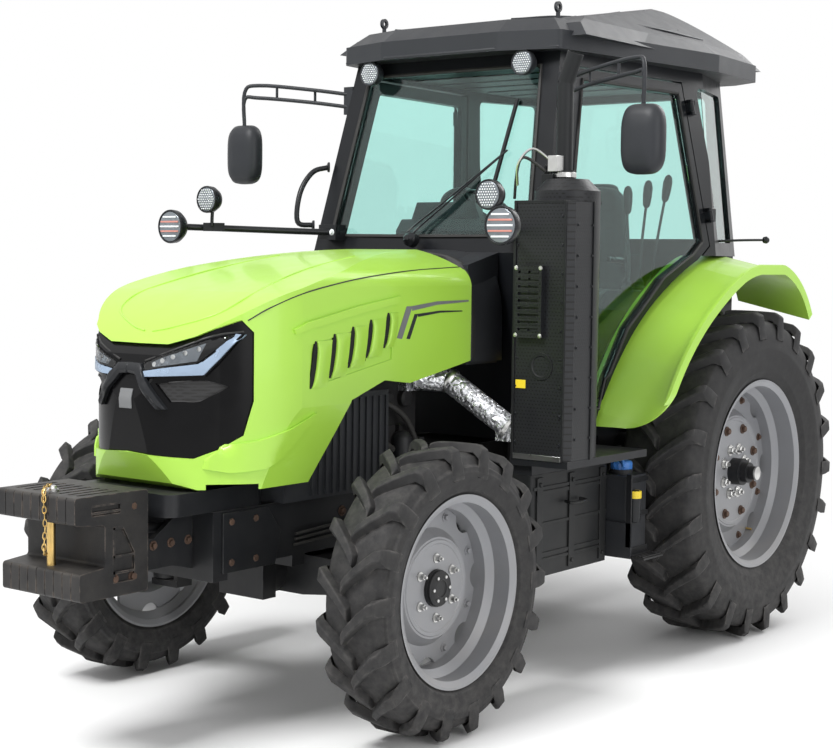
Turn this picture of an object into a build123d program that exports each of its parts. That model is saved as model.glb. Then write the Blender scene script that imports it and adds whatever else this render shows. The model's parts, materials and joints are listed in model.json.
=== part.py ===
from build123d import *
import os
from math import cos, radians, sin, tan

os.makedirs("parts", exist_ok=True)

# ---------------------------------------------------------------- driving dimensions (mm)
# +X is forward, +Y is the tractor's left, +Z is up. The origin is on the ground.
rear_axle_x = -1150.0
wheelbase = 2153.0
front_axle_x = rear_axle_x + wheelbase

rear_tyre_radius = 727.0
rear_tyre_width = 370.0
rear_bead_radius = 398.0
rear_track_half = 762.0
front_tyre_radius = 518.0
front_tyre_width = 262.0
front_bead_radius = 318.0
front_track_half = 747.0
front_lugs = 18          # on each side of the tread
rear_lugs = 22
front_lug_lean = 9.0     # half the angle that a lug takes up, in degrees
rear_lug_lean = 7.6
front_lug_height = 34.0
rear_lug_height = 42.0
lug_wall = 46.0
rim_wall = 9.0
flange_height = 20.0
rear_disc_y = 790.0
front_disc_y = 742.0
disc_wall = 14.0
disc_dish = 34.0
well_depth = 28.0

rear_axle_z = rear_tyre_radius
front_axle_z = front_tyre_radius
kingpin_y = 600.0

frame_half = 250.0
frame_low = 560.0
frame_high = 800.0
frame_front_x = front_axle_x + 567.0
frame_rear_x = 420.0
bracket_front_x = frame_front_x + 270.0
weight_front_x = bracket_front_x + 310.0
weight_half = 190.0
weight_plates = 9
engine_rear_x = 430.0
engine_front_x = front_axle_x - 43.0
engine_half = 200.0
radiator_x = front_axle_x + 177.0

hood_half = 430.0
hood_rear_x = 371.0
hood_tip_x = front_axle_x + 773.0
hood_wall = 9.0
hood_hinge = (400.0, 1640.0)

belt_z = 1690.0
roof_z = 2500.0
floor_z = 975.0
cab_wall = 48.0
glass_wall = 6.0
fender_wall = 12.0
fender_out_y = 920.0
door_gap = 7.0
seal = 0.5

cabinet_rear_x = 59.0
cabinet_front_x = 350.0
cabinet_low = 910.0
cabinet_high = 1880.0
canister_radius = 126.0
canister_centre = (185.0, 735.0)
stack_radius = 32.0


# ---------------------------------------------------------------- helpers
def span(x, y, z, mode=Mode.ADD):
    """Block between a low and a high value on each axis."""
    with Locations(((x[0] + x[1]) / 2, (y[0] + y[1]) / 2, (z[0] + z[1]) / 2)):
        Box(x[1] - x[0], y[1] - y[0], z[1] - z[0], mode=mode)


def plate(plane, points, amount, mode=Mode.ADD, corner=0.0):
    """Outline on a plane, its corners rounded if asked, with a thickness."""
    with BuildSketch(plane) as outline:
        with BuildLine():
            Polyline(*points, close=True)
        make_face()
        if corner:
            fillet(outline.vertices(), corner)
    extrude(outline.sketch, amount=amount, mode=mode)


def side_plane(y):
    """Plane of (x, z) points that looks to the right."""
    return Plane(origin=(0, y, 0), x_dir=(1, 0, 0), z_dir=(0, -1, 0))


def front_plane(x):
    """Plane of (y, z) points that looks forward."""
    return Plane(origin=(x, 0, 0), x_dir=(0, 1, 0), z_dir=(1, 0, 0))


def across(x, y, z):
    """Plane at right angles to a wheel's axle, that looks to the left."""
    return Plane(origin=(x, y, z), x_dir=(1, 0, 0), z_dir=(0, 1, 0))


def side_profile(points, y, mode=Mode.ADD, corner=0.0):
    """Outline of (x, z) points, as thick as y runs."""
    plate(side_plane(y[1]), points, y[1] - y[0], mode, corner)


def front_profile(points, x, mode=Mode.ADD, corner=0.0):
    """Outline of (y, z) points, as thick as x runs."""
    plate(front_plane(x[0]), points, x[1] - x[0], mode, corner)


def plan_profile(points, z, mode=Mode.ADD, corner=0.0):
    """Outline of (x, y) points, as thick as z runs."""
    plate(Plane.XY.offset(z[0]), points, z[1] - z[0], mode, corner)


def both_sides(points):
    """The (y, z) points of a right half, from the middle out, and their mirror image."""
    return points + [(-y, z) for y, z in reversed(points) if y]


def rod(start, end, radius, mode=Mode.ADD):
    """Round bar between two points."""
    run = Vector(*end) - Vector(*start)
    with BuildSketch(Plane(origin=start, z_dir=run)) as section:
        Circle(radius)
    extrude(section.sketch, amount=run.length, mode=mode)


def turned(points, x, z, mode=Mode.ADD):
    """Outline of (y, radius) points turned about a cross axis at x, z."""
    with BuildSketch(Plane(origin=(x, 0, z), x_dir=(0, 1, 0), z_dir=(1, 0, 0))) as outline:
        with BuildLine():
            Polyline(*points, close=True)
        make_face()
    revolve(outline.sketch, axis=Axis((x, 0, z), (0, 1, 0)), mode=mode)


def save(piece, name):
    piece.part.label = name
    export_step(piece.part, f"parts/{name}.step")


def save_pair(piece, name):
    """The left piece as built and its mirror image on the right."""
    save(piece, name + "_left")
    with BuildPart() as other:
        mirror(piece.part, about=Plane.XZ)
    save(other, name + "_right")


def save_both(piece, name):
    """The left piece and its mirror image in one node."""
    with BuildPart() as both:
        add(piece.part)
        mirror(piece.part, about=Plane.XZ)
    save(both, name)


# ---------------------------------------------------------------- wheels
def rim_section(disc_y, centre_y, width, bead, wall):
    """Drop-centre rim as (y, radius) points from the inner flange to the outer one and back."""
    half = width / 2
    well = bead - well_depth
    well_y = (disc_y - disc_dish - disc_wall - 8, disc_y + 12)
    outer = [(centre_y - half, bead + flange_height), (centre_y - half + 12, bead),
             (well_y[0] - 22, bead), (well_y[0], well), (well_y[1], well), (well_y[1] + 22, bead),
             (centre_y + half - 12, bead), (centre_y + half, bead + flange_height)]
    inner = [(y, r - wall) for y, r in reversed(outer)]
    return outer + inner


def make_tyre(axle_x, axle_z, track, radius, width, bead, lugs, lug_height, lean):
    """Tyre with slanted lugs in two staggered rows. It stands on the flat between two lug tips."""
    half = width / 2
    seat = width * 0.82 / 2 - 13
    belly = radius - 0.52 * (radius - bead)
    pitch = 360 / lugs
    tip = radius / cos(radians(lean - pitch / 4))
    top = tip * cos(radians(lean))
    reach = tip * sin(radians(lean))
    half_section = [(seat, bead), (half, belly), (half - 45, radius - lug_height)]
    breadth = radius * tan(radians(pitch / 2))
    with BuildPart(mode=Mode.PRIVATE) as wedge:
        front_profile(half_section + [(-y, r) for y, r in reversed(half_section)], (-radius, radius))
        side_profile([(0, 0), (-breadth, radius), (breadth, radius)], (-half - 1, half + 1), mode=Mode.INTERSECT)
    with BuildPart() as tyre:
        add([wedge.part.rotate(Axis.Y, pitch * k) for k in range(lugs)])
    bars = []
    for side in (-1, 1):
        inner, crown, outer = -16 * side, (half - 30) * side, (half - 3) * side
        far = -reach - (2 * reach - lug_wall) * (outer - crown) / (crown - inner)
        with BuildPart() as lug:
            plan_profile([(reach, inner), (reach - lug_wall, inner), (far, outer), (far + lug_wall, outer)],
                         (belly - 10, radius + 20))
            front_profile([(inner, 0), (inner, top), (crown, top), (outer, top - 48), (outer, 0)],
                          (-radius, radius), mode=Mode.INTERSECT)
        for k in range(lugs):
            turn = pitch * (k + 0.5 + side / 4)
            bars.append(lug.part.rotate(Axis.Y, turn))
    with BuildPart() as lugged:
        add(tyre.part)
        add(bars)
    with BuildPart() as placed:
        add(lugged.part.translate((axle_x, track, axle_z)))
    return placed


def make_rim(axle_x, axle_z, track, width, bead, disc_y, hub_radius, disc_radius, notches):
    """Rim and its dished disc, which is notched between the places where it is bolted to the rim."""
    edge = bead - well_depth - rim_wall + 1
    back = disc_y - disc_dish
    with BuildPart() as disc:
        turned([(disc_y - disc_wall, hub_radius), (disc_y, hub_radius), (disc_y, disc_radius),
                (back, disc_radius + 30), (back, edge), (back - disc_wall, edge),
                (back - disc_wall, disc_radius + 30), (disc_y - disc_wall, disc_radius)],
               axle_x, axle_z)
        with BuildSketch(across(axle_x, back - disc_wall - 1, axle_z)):
            with PolarLocations(edge + 22, notches):
                Circle(52)
        extrude(amount=disc_wall + 2, mode=Mode.SUBTRACT)
    with BuildPart() as rim:
        turned(rim_section(disc_y, track, width * 0.82, bead, rim_wall), axle_x, axle_z)
        add(disc.part)
    return rim


front_tyre = make_tyre(front_axle_x, front_axle_z, front_track_half, front_tyre_radius, front_tyre_width,
                       front_bead_radius, front_lugs, front_lug_height, front_lug_lean)
rear_tyre = make_tyre(rear_axle_x, rear_axle_z, rear_track_half, rear_tyre_radius, rear_tyre_width,
                      rear_bead_radius, rear_lugs, rear_lug_height, rear_lug_lean)
front_rim = make_rim(front_axle_x, front_axle_z, front_track_half, front_tyre_width, front_bead_radius,
                     front_disc_y, 66, 178, 8)
rear_rim = make_rim(rear_axle_x, rear_axle_z, rear_track_half, rear_tyre_width, rear_bead_radius,
                    rear_disc_y, 60, 250, 8)
save_pair(front_tyre, "front_tyre")
save_pair(front_rim, "front_rim")
save_pair(rear_tyre, "rear_tyre")
save_pair(rear_rim, "rear_rim")

with BuildPart() as front_hub:
    turned([(front_disc_y - 79, 0), (front_disc_y + 12, 0), (front_disc_y + 12, 65.5),
            (front_disc_y - disc_wall, 65.5), (front_disc_y - disc_wall, 120),
            (front_disc_y - 44, 120), (front_disc_y - 79, 90)], front_axle_x, front_axle_z)
save_pair(front_hub, "front_hub")

with BuildPart() as rear_hub:
    turned([(rear_disc_y - 120, 0), (905, 0), (905, 30), (870, 30), (870, 45),
            (rear_disc_y + 50, 45), (rear_disc_y + 50, 59.5), (rear_disc_y - disc_wall, 59.5),
            (rear_disc_y - disc_wall, 150), (rear_disc_y - 40, 150), (rear_disc_y - 60, 110),
            (rear_disc_y - 120, 110)], rear_axle_x, rear_axle_z)
save_pair(rear_hub, "rear_hub")

# ---------------------------------------------------------------- front axle and knuckles
with BuildPart() as knuckle:
    turned([(kingpin_y + 62, 0), (kingpin_y + 62, 88), (kingpin_y + 30, 100), (kingpin_y + 5, 100),
            (kingpin_y - 30, 55), (kingpin_y - 30, 0)], front_axle_x, front_axle_z)
    rod((front_axle_x, kingpin_y, front_axle_z - 130), (front_axle_x, kingpin_y, front_axle_z + 130), 52)
    span((front_axle_x - 190, front_axle_x - 40), (kingpin_y - 25, kingpin_y + 10),
         (front_axle_z - 118, front_axle_z - 88))
    rod((front_axle_x, kingpin_y, front_axle_z - 131), (front_axle_x, kingpin_y, front_axle_z - 60), 30)
save_pair(knuckle, "knuckle")

with BuildPart() as front_axle:
    beam_end = kingpin_y - 80
    front_profile([(-beam_end, front_axle_z - 50), (-180, front_axle_z - 90), (180, front_axle_z - 90),
                   (beam_end, front_axle_z - 50), (beam_end, front_axle_z + 50), (190, front_axle_z + 60),
                   (-190, front_axle_z + 60), (-beam_end, front_axle_z + 50)],
                  (front_axle_x - 62, front_axle_x + 62))
    rod((front_axle_x - 130, 0, front_axle_z), (front_axle_x + 130, 0, front_axle_z), 105)
    for side in (-1, 1):
        yoke = sorted((side * (kingpin_y - 100), side * (kingpin_y + 40)))
        for z in ((front_axle_z - 160, front_axle_z - 136), (front_axle_z + 136, front_axle_z + 160)):
            span((front_axle_x - 42, front_axle_x + 42), yoke, z)
        web = sorted((side * (kingpin_y - 100), side * (kingpin_y - 80)))
        span((front_axle_x - 38, front_axle_x + 38), web, (front_axle_z - 160, front_axle_z + 160))
save(front_axle, "front_axle")

# ---------------------------------------------------------------- chassis
with BuildPart() as front_frame:
    for side in (-1, 1):
        rail = sorted((side * (frame_half - 26), side * frame_half))
        span((frame_rear_x, frame_front_x), rail, (frame_low + 40, frame_high))
        # feet that hold the engine, and the bracket plates that carry the weights
        foot = sorted((side * engine_half, side * (frame_half - 26)))
        for x in (engine_rear_x + 60, engine_front_x - 120):
            span((x, x + 60), foot, (700, 760))
        side_profile([(frame_front_x, frame_low + 30), (frame_front_x, frame_high),
                      (frame_front_x + 90, frame_high), (bracket_front_x - 60, 722),
                      (bracket_front_x, 722), (bracket_front_x, 620), (frame_front_x + 120, 620)],
                     sorted((side * 130, side * 150)))
        rod((frame_front_x, side * 95, 748), (bracket_front_x - 20, side * 95, 748), 16)
    span((frame_front_x - 40, frame_front_x + 30), (-frame_half, frame_half), (frame_low, frame_high))
    span((bracket_front_x - 30, bracket_front_x), (-150, 150), (620, 800))
    for x in ((front_axle_x - 200, front_axle_x - 131), (front_axle_x + 131, front_axle_x + 200)):
        span(x, (-frame_half, frame_half), (frame_low, 636))
        span(x, (-110, 110), (420, frame_low + 1))
    # shallow cover over the front cross member
    plan_profile([(1330, -240), (1330, 240), (1790, 240), (1790, -240)], (frame_high, 876), corner=45)
save(front_frame, "front_frame")

with BuildPart() as front_weights:
    plate_width = 2 * weight_half / weight_plates
    side_profile([(bracket_front_x, 900), (bracket_front_x, 565), (weight_front_x - 20, 565),
                  (weight_front_x - 20, 655), (weight_front_x - 125, 665), (weight_front_x - 125, 800),
                  (weight_front_x, 812), (weight_front_x, 900)], (-weight_half, weight_half), corner=12)
    for k in range(1, weight_plates):
        y = -weight_half + k * plate_width
        span((weight_front_x - 215, weight_front_x - 45), (y - 7, y + 7), (872, 901), mode=Mode.SUBTRACT)
        span((weight_front_x - 6, weight_front_x + 1), (y - 1.5, y + 1.5), (780, 901), mode=Mode.SUBTRACT)
        span((weight_front_x - 26, weight_front_x), (y - 1.5, y + 1.5), (560, 680), mode=Mode.SUBTRACT)
    for y in ((-weight_half - 1, -weight_half + 9), (weight_half - 9, weight_half + 1)):
        side_profile([(bracket_front_x + 60, 700), (bracket_front_x + 60, 610), (bracket_front_x + 150, 610),
                      (bracket_front_x + 150, 790), (bracket_front_x + 110, 790)], y, mode=Mode.SUBTRACT)
        side_profile([(bracket_front_x + 120, 868), (bracket_front_x + 120, 836),
                      (bracket_front_x + 240, 836), (bracket_front_x + 240, 868)], y, mode=Mode.SUBTRACT)
    rod((weight_front_x - 65, 0, 570), (weight_front_x - 65, 0, 912), 11)
save(front_weights, "front_weights")

with BuildPart() as engine:
    span((engine_rear_x, engine_front_x), (-engine_half, engine_half), (640, 1300))
save(engine, "engine_block")

with BuildPart() as radiator:
    span((radiator_x, radiator_x + 110), (-290, 290), (frame_high, 1330))
    # ribbed screens beside the engine bay
    for side in (-1, 1):
        span((engine_front_x - 250, radiator_x + 1), sorted((side * 280, side * 290)), (frame_high, 1170))
        for k in range(12):
            x = engine_front_x - 240 + 38 * k
            span((x, x + 14), sorted((side * 289, side * 298)), (frame_high + 12, 1150))
        span((engine_front_x - 250, radiator_x + 1), sorted((side * 249, side * 281)),
             (frame_high, frame_high + 8))
save(radiator, "radiator_screen")

with BuildPart() as gearbox:
    span((-900, engine_rear_x - 30), (-190, 190), (480, 900))
    span((engine_rear_x - 30, engine_rear_x), (26 - frame_half, frame_half - 26), (600, 960))
    for x in (-620, -250, 120):
        span((x, x + 40), (-205, 205), (500, 905))
save(gearbox, "transmission_case")

with BuildPart() as rear_axle:
    span((-1430, -901), (-230, 230), (440, 900))
    span((-1400, -960), (-200, 200), (900, 1190))
    for side in (-1, 1):
        trumpet = [(229, 150), (300, 120), (rear_disc_y - 200, 100), (rear_disc_y - 160, 135),
                   (rear_disc_y - 125, 135), (rear_disc_y - 125, 0), (229, 0)]
        turned([(side * y, r) for y, r in trumpet], rear_axle_x, rear_axle_z)
        # saddles under the rockshaft
        side_profile([(-1399, 1014), (-1399, 920), (-1440, 950), (-1495, 1014)],
                     sorted((side * 150, side * 180)))
    rod((-1430, 0, 640), (-1530, 0, 640), 17.5)
save(rear_axle, "rear_axle_housing")

with BuildPart() as drawbar:
    side_profile([(-905, 430), (-905, 400), (-2060, 400), (-2060, 430)], (-45, 45))
    with Locations((-2020, 0, 415)):
        Cylinder(16.5, 40, mode=Mode.SUBTRACT)
    span((-1400, -1340), (-60, 60), (430, 440))
save(drawbar, "drawbar")

# ---------------------------------------------------------------- side equipment
with BuildPart() as side_box:
    plan_profile([(-230, 480), (330, 480), (330, 690), (-230, 690)], (440, 840), corner=18)
    span((-230, 330), (251, 482), (560, 620))
    for z in (520, 760):
        span((-200, 300), (689, 695), (z, z + 14))
save(side_box, "battery_box")

tank_x = rear_axle_x + rear_tyre_radius + 24
with BuildPart() as def_tank:
    plan_profile([(tank_x, 600), (-241, 600), (-241, 780), (tank_x, 780)], (470, 790), corner=20)
    rod((tank_x + 80, 700, 789), (tank_x + 80, 700, 808), 46)
    rod((tank_x + 80, 700, 808), (tank_x + 80, 700, 836), 38)
    # step and its bracket
    span((tank_x + 4, -240), (775, 800), (455, 470))
    span((-241, -232), (600, 800), (455, 600))
save(def_tank, "fluid_tank")

with BuildPart() as fuel_tank:
    plan_profile([(-230, -690), (330, -690), (330, -480), (-230, -480)], (440, 880), corner=30)
    span((-230, 330), (-482, -251), (560, 620))
    rod((250, -600, 879), (250, -600, 912), 42)
save(fuel_tank, "fuel_tank")

# ---------------------------------------------------------------- cab
# Outward faces of the cab shell: a point and a normal for each.
cab_faces = [
    Plane(origin=(110, 600, belt_z), z_dir=(0.08, 1, 0.11)),
    Plane(origin=(110, -600, belt_z), z_dir=(0.08, -1, 0.11)),
    Plane(origin=(110, 600, belt_z), z_dir=(0.08, 1, 0)),
    Plane(origin=(110, -600, belt_z), z_dir=(0.08, -1, 0)),
    Plane(origin=(130, 0, belt_z), z_dir=(1, 0, 0.25)),
    Plane(origin=(-1560, 0, belt_z), z_dir=(-1, 0, 0.07)),
    Plane(origin=(-1120, 694, belt_z), z_dir=(-0.3, 1, 0.11)),
    Plane(origin=(-1120, -694, belt_z), z_dir=(-0.3, -1, 0.11)),
]


def cab_block(z, inset=0.0):
    """The space inside the cab's faces, all moved in by the inset, between two heights."""
    with BuildPart(mode=Mode.PRIVATE) as block:
        span((-1700, 400), (-800, 800), z)
        for face in cab_faces:
            split(bisect_by=face.offset(-inset), keep=Keep.BOTTOM)
    return block.part


def round_wheel(angle, gap):
    """The (x, z) point at an angle round the rear axle, a gap outside the tyre."""
    radius = rear_tyre_radius + gap
    return (rear_axle_x + radius * cos(radians(angle)), rear_axle_z + radius * sin(radians(angle)))


# Arcs of the fender's inner edge, each by three (angle, gap) stations.
fender_arcs = [[(20.4, 214), (30, 191), (38.7, 182)], [(38.7, 182), (50, 178), (60.7, 182)],
               [(60.7, 182), (70, 197), (78.5, 220)], [(78.5, 220), (84, 231), (88.2, 236)]]
fender_foot = (15.8, 223)
door_rise = 15.0


def fender_edge(rise=0.0, arcs=4):
    """Draws the fender's inner edge, from its foot upward, and returns its first and last points."""
    start = round_wheel(fender_foot[0], fender_foot[1] + rise)
    Line(start, round_wheel(fender_arcs[0][0][0], fender_arcs[0][0][1] + rise))
    for arc in fender_arcs[:arcs]:
        stations = [round_wheel(angle, gap + rise) for angle, gap in arc]
        ThreePointArc(*stations)
    return start, stations[-1]


def door_sheet(clearance=0.0):
    """The door's outline, widened by a clearance, across the whole cab."""
    with BuildPart(mode=Mode.PRIVATE) as sheet:
        with BuildSketch(side_plane(800)) as outline:
            with BuildLine():
                foot, hip = fender_edge(door_rise, 3)
                Polyline(hip, (-1060, 1735), (-930, 2440), (-170, 2440), (20, belt_z), (-75, floor_z + 10),
                         (foot[0] + 18, floor_z + 10), foot)
            make_face()
            if clearance:
                offset(amount=clearance, kind=Kind.INTERSECTION)
        extrude(outline.sketch, amount=1600)
    return sheet.part


window_line = [(-30, 1700), (-205, 2390), (-895, 2390), (-1000, 1750), (-910, 1690), (-690, 1590), (-440, 1385),
               (-305, 1180), (-262, 1060), (-120, 1060)]
windscreen_line = [(-505, 1760), (505, 1760), (440, 2440), (-440, 2440)]
rear_window_line = [(-460, 1770), (460, 1770), (430, 2430), (-430, 2430)]
quarter_line = [(-1180, 1750), (-1045, 2430), (-1450, 2430), (-1480, 1750)]
window_corner = 28.0

hinge_base = (-996, 674, 2100)
hinge_way = Vector(0.184, -0.125, 1).normalized()


def hinge_plane(height, side=1):
    """Plane across the left door's hinge line at a height, its x forward and its y outward."""
    run = (height - hinge_base[2]) / hinge_way.Z
    spot = Vector(*hinge_base) + hinge_way * run
    return Plane(origin=spot, x_dir=(1, 0, -hinge_way.X / hinge_way.Z), z_dir=hinge_way)


def on_hinge(height, x, y, z, mode=Mode.ADD):
    """Block in the hinge's own directions."""
    with BuildSketch(hinge_plane(height).offset(z[0])) as outline:
        with Locations(((x[0] + x[1]) / 2, (y[0] + y[1]) / 2)):
            Rectangle(x[1] - x[0], y[1] - y[0])
    extrude(outline.sketch, amount=z[1] - z[0], mode=mode)


def hinge_barrel(height, z):
    with BuildSketch(hinge_plane(height).offset(z[0])) as outline:
        Circle(11)
    extrude(outline.sketch, amount=z[1] - z[0])


hinge_heights = (1870, 2340)

with BuildPart() as pillar_hinges:
    for height in hinge_heights:
        for z in ((-33, -20.5), (20.5, 33)):
            hinge_barrel(height, z)
            on_hinge(height, (-20, -4), (-36, 0), z)
            on_hinge(height, (-52, -4), (-44, -26), z)

with BuildPart() as cab_frame:
    add(cab_block((belt_z, roof_z)))
    add(cab_block((belt_z, roof_z), cab_wall), mode=Mode.SUBTRACT)
    front_profile(windscreen_line, (-300, 400), mode=Mode.SUBTRACT, corner=window_corner)
    front_profile(rear_window_line, (-1800, -1300), mode=Mode.SUBTRACT, corner=window_corner)
    side_profile(quarter_line, (-800, 800), mode=Mode.SUBTRACT, corner=window_corner)
    add(door_sheet(door_gap), mode=Mode.SUBTRACT)
    add(pillar_hinges.part)
    mirror(pillar_hinges.part, about=Plane.XZ)
save(cab_frame, "cab_frame")


def pane(plane, points, amount):
    """Glass that fills a window in the cab's face."""
    with BuildPart(mode=Mode.PRIVATE) as glass:
        plate(plane, points, amount, corner=window_corner)
        add(cab_block((floor_z, roof_z), 12), mode=Mode.INTERSECT)
        add(cab_block((floor_z, roof_z), 12 + glass_wall), mode=Mode.SUBTRACT)
    return glass.part


with BuildPart() as cab_glass:
    add(pane(front_plane(-300), windscreen_line, 700))
    add(pane(front_plane(-1800), rear_window_line, 500))
    add(pane(side_plane(800), quarter_line, 1600))
save(cab_glass, "cab_glass")

with BuildPart() as door:
    add(door_sheet())
    add(cab_block((floor_z, roof_z)), mode=Mode.INTERSECT)
    add(cab_block((floor_z, roof_z), cab_wall - 6), mode=Mode.SUBTRACT)
    span((-1700, 400), (-800, 0), (900, 2600), mode=Mode.SUBTRACT)
    side_profile(window_line, (300, 800), mode=Mode.SUBTRACT, corner=window_corner)
    for height in hinge_heights:
        hinge_barrel(height, (-20, 20))
        on_hinge(height, (2, 11), (-36, 0), (-16, 16))
        on_hinge(height, (4, 44), (-44, -26), (-16, 16))
save_pair(door, "door")

with BuildPart() as door_glass:
    add(pane(side_plane(800), window_line, 500))
save_pair(door_glass, "door_glass")

roof_edge_z = roof_z + 76
with BuildPart() as roof:
    roof_plan = [(50, -300), (50, 300), (-20, 560), (-1090, 700), (-1560, 650), (-1640, 500),
                 (-1640, -500), (-1560, -650), (-1090, -700), (-20, -560)]
    plan_profile(roof_plan, (roof_z, roof_edge_z), corner=30)
    with BuildSketch(Plane.XY.offset(roof_edge_z)) as crown:
        with BuildLine():
            Polyline(*roof_plan, close=True)
        make_face()
        offset(amount=-12, kind=Kind.INTERSECTION)
    extrude(crown.sketch, amount=60, taper=52)
    # hump over the rear of the roof, its flanks sloped
    with BuildPart(mode=Mode.PRIVATE) as hump:
        with BuildSketch(side_plane(640)) as hump_side:
            with BuildLine():
                Polyline((-1625, roof_edge_z - 20), (-80, roof_edge_z - 20), (-130, roof_edge_z + 40),
                         (-250, roof_z + 160))
                ThreePointArc((-250, roof_z + 160), (-700, roof_z + 225), (-1150, roof_z + 315))
                ThreePointArc((-1150, roof_z + 315), (-1400, roof_z + 290), (-1600, roof_edge_z + 50))
                Line((-1600, roof_edge_z + 50), (-1625, roof_edge_z - 20))
            make_face()
        extrude(hump_side.sketch, amount=1280)
        front_profile([(-640, roof_edge_z - 20), (640, roof_edge_z - 20), (560, roof_edge_z + 60),
                       (300, roof_z + 320), (-300, roof_z + 320), (-560, roof_edge_z + 60)],
                      (-1700, 0), mode=Mode.INTERSECT)
    add(hump.part)
    for y in (-453, 453):
        for x in (-160, -1147):
            rod((x, y, roof_edge_z + 20), (x, y, roof_edge_z + 100), 9)
            rod((x, y - 6, roof_edge_z + 112), (x, y + 6, roof_edge_z + 112), 22)
            rod((x, y - 7, roof_edge_z + 112), (x, y + 7, roof_edge_z + 112), 11, mode=Mode.SUBTRACT)
save(roof, "cab_roof")

tub_half = rear_track_half - rear_tyre_width / 2 - 22
with BuildPart() as cab_tub:
    # floor, riser, seat platform and rear wall, then the cheeks beside them
    side_profile([(-30, 930), (-30, floor_z), (-905, floor_z), (-905, 1250), (-1500, 1250), (-1500, belt_z),
                  (-1555, belt_z), (-1555, 1205), (-950, 1205), (-950, 930)], (-tub_half, tub_half))
    for y in (-tub_half + 20, tub_half):
        with BuildSketch(side_plane(y)) as cheek:
            with BuildLine():
                foot, crest = fender_edge()
                Polyline(crest, (-1555, belt_z), (-1555, 1205), (-950, 1205), (-950, 930), (foot[0], 930), foot)
            make_face()
        extrude(cheek.sketch, amount=20)
    side_profile([(30, 930), (130, belt_z), (85, belt_z), (-15, floor_z), (-31, floor_z), (-31, 930)],
                 (-600, 600))
save(cab_tub, "cab_tub")


def fender_band(y, wall):
    """The fender's curved sheet between two distances from the middle. It falls outward."""
    fall = 0.22
    with BuildPart(mode=Mode.PRIVATE) as band:
        with BuildSketch(Plane(origin=(0, y[0], -fall * (y[0] - tub_half)), x_dir=(1, 0, 0),
                               z_dir=(0, -1, 0))) as section:
            with BuildLine():
                ends = []
                for rise in (0, wall):
                    foot, crest = fender_edge(rise)
                    shelf = (-1350, belt_z + rise)
                    tail = (-1620 - 0.8 * rise, 1480 + 0.6 * rise)
                    Line(crest, shelf)
                    ThreePointArc(shelf, (-1510 - 0.5 * rise, 1612 + 0.86 * rise), tail)
                    ends.append((foot, tail))
                Line(ends[0][0], ends[1][0])
                Line(ends[0][1], ends[1][1])
            make_face()
        extrude(section.sketch, amount=y[1] - y[0], dir=(0, 1, -fall))
    return band.part


with BuildPart() as fender:
    add(fender_band((tub_half, fender_out_y), fender_wall))
    add(fender_band((fender_out_y - 12, fender_out_y), fender_wall + 30))
    # round corner at the fender's front foot
    with BuildSketch(front_plane(-500)) as corner_cut:
        with BuildLine():
            ThreePointArc((fender_out_y - 160, 985), (fender_out_y - 50, 1030), (fender_out_y + 1, 1135))
            Polyline((fender_out_y + 1, 1135), (fender_out_y + 60, 1135), (fender_out_y + 60, 700),
                     (tub_half - 1, 700), (tub_half - 1, 985), (fender_out_y - 160, 985))
        make_face()
    extrude(corner_cut.sketch, amount=500, mode=Mode.SUBTRACT)
    add(cab_block((belt_z, roof_z)), mode=Mode.SUBTRACT)
save_both(fender, "fenders")

with BuildPart() as cowl:
    side_profile([(132, 1250), (132, belt_z), (340, 1640), (340, 1250)], (-380, 380))
    for y in (-216, 216):
        # eyes that carry the hood's hinge pins
        span((339, hood_hinge[0]), (y - 5, y + 5), (hood_hinge[1] - 12, hood_hinge[1]))
        rod((hood_hinge[0], y - 5, hood_hinge[1]), (hood_hinge[0], y + 5, hood_hinge[1]), 13)
save(cowl, "cowl")

# ---------------------------------------------------------------- cab interior
with BuildPart() as seat:
    plan_profile([(-1180, -220), (-1180, 220), (-740, 200), (-740, -200)], (1380, 1480), corner=40)
    side_profile([(-1180, 1470), (-1080, 1470), (-1125, 1700), (-1150, 1990), (-1215, 1990), (-1225, 1700)],
                 (-205, 205), corner=22)
    span((-1120, -850), (-120, 120), (1251, 1381))
save(seat, "seat")

with BuildPart() as dash:
    side_profile([(20, 1250), (20, 1780), (-20, 1830), (-120, 1810), (-160, 1720), (-160, 1500), (-90, 1250)],
                 (-230, 230), corner=14)
    rod((-130, 0, 1700), (-256, 0, 1812), 26)
    wheel_plane = Plane(origin=(-273, 0, 1833), x_dir=(0, 1, 0), z_dir=(-0.68, 0, 0.73))
    with BuildSketch(Plane(origin=wheel_plane.origin, x_dir=wheel_plane.x_dir,
                           z_dir=wheel_plane.y_dir)) as rim_round:
        with Locations((178, 0)):
            RegularPolygon(13, side_count=8)
    revolve(rim_round.sketch, axis=Axis(wheel_plane.origin, wheel_plane.z_dir))
    for turn in (30, 150, 270):
        reach = wheel_plane.x_dir * cos(radians(turn)) + wheel_plane.y_dir * sin(radians(turn))
        tip = wheel_plane.origin + reach * 176
        rod(tuple(wheel_plane.origin), tuple(tip), 10)
    rod((-256, 0, 1812), (-285, 0, 1845), 38)
save(dash, "dash_and_wheel")

with BuildPart() as console:
    side_profile([(-1200, 1251), (-1200, 1540), (-1050, 1580), (-700, 1560), (-660, 1480), (-700, 1251)],
                 (-480, -300), corner=20)
    for x in (-760, -850, -950):
        rod((x, -390, 1540), (x - 30, -390, 1760), 8)
        rod((x - 28, -390, 1750), (x - 44, -390, 1860), 19)
save(console, "lever_console")

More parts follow.
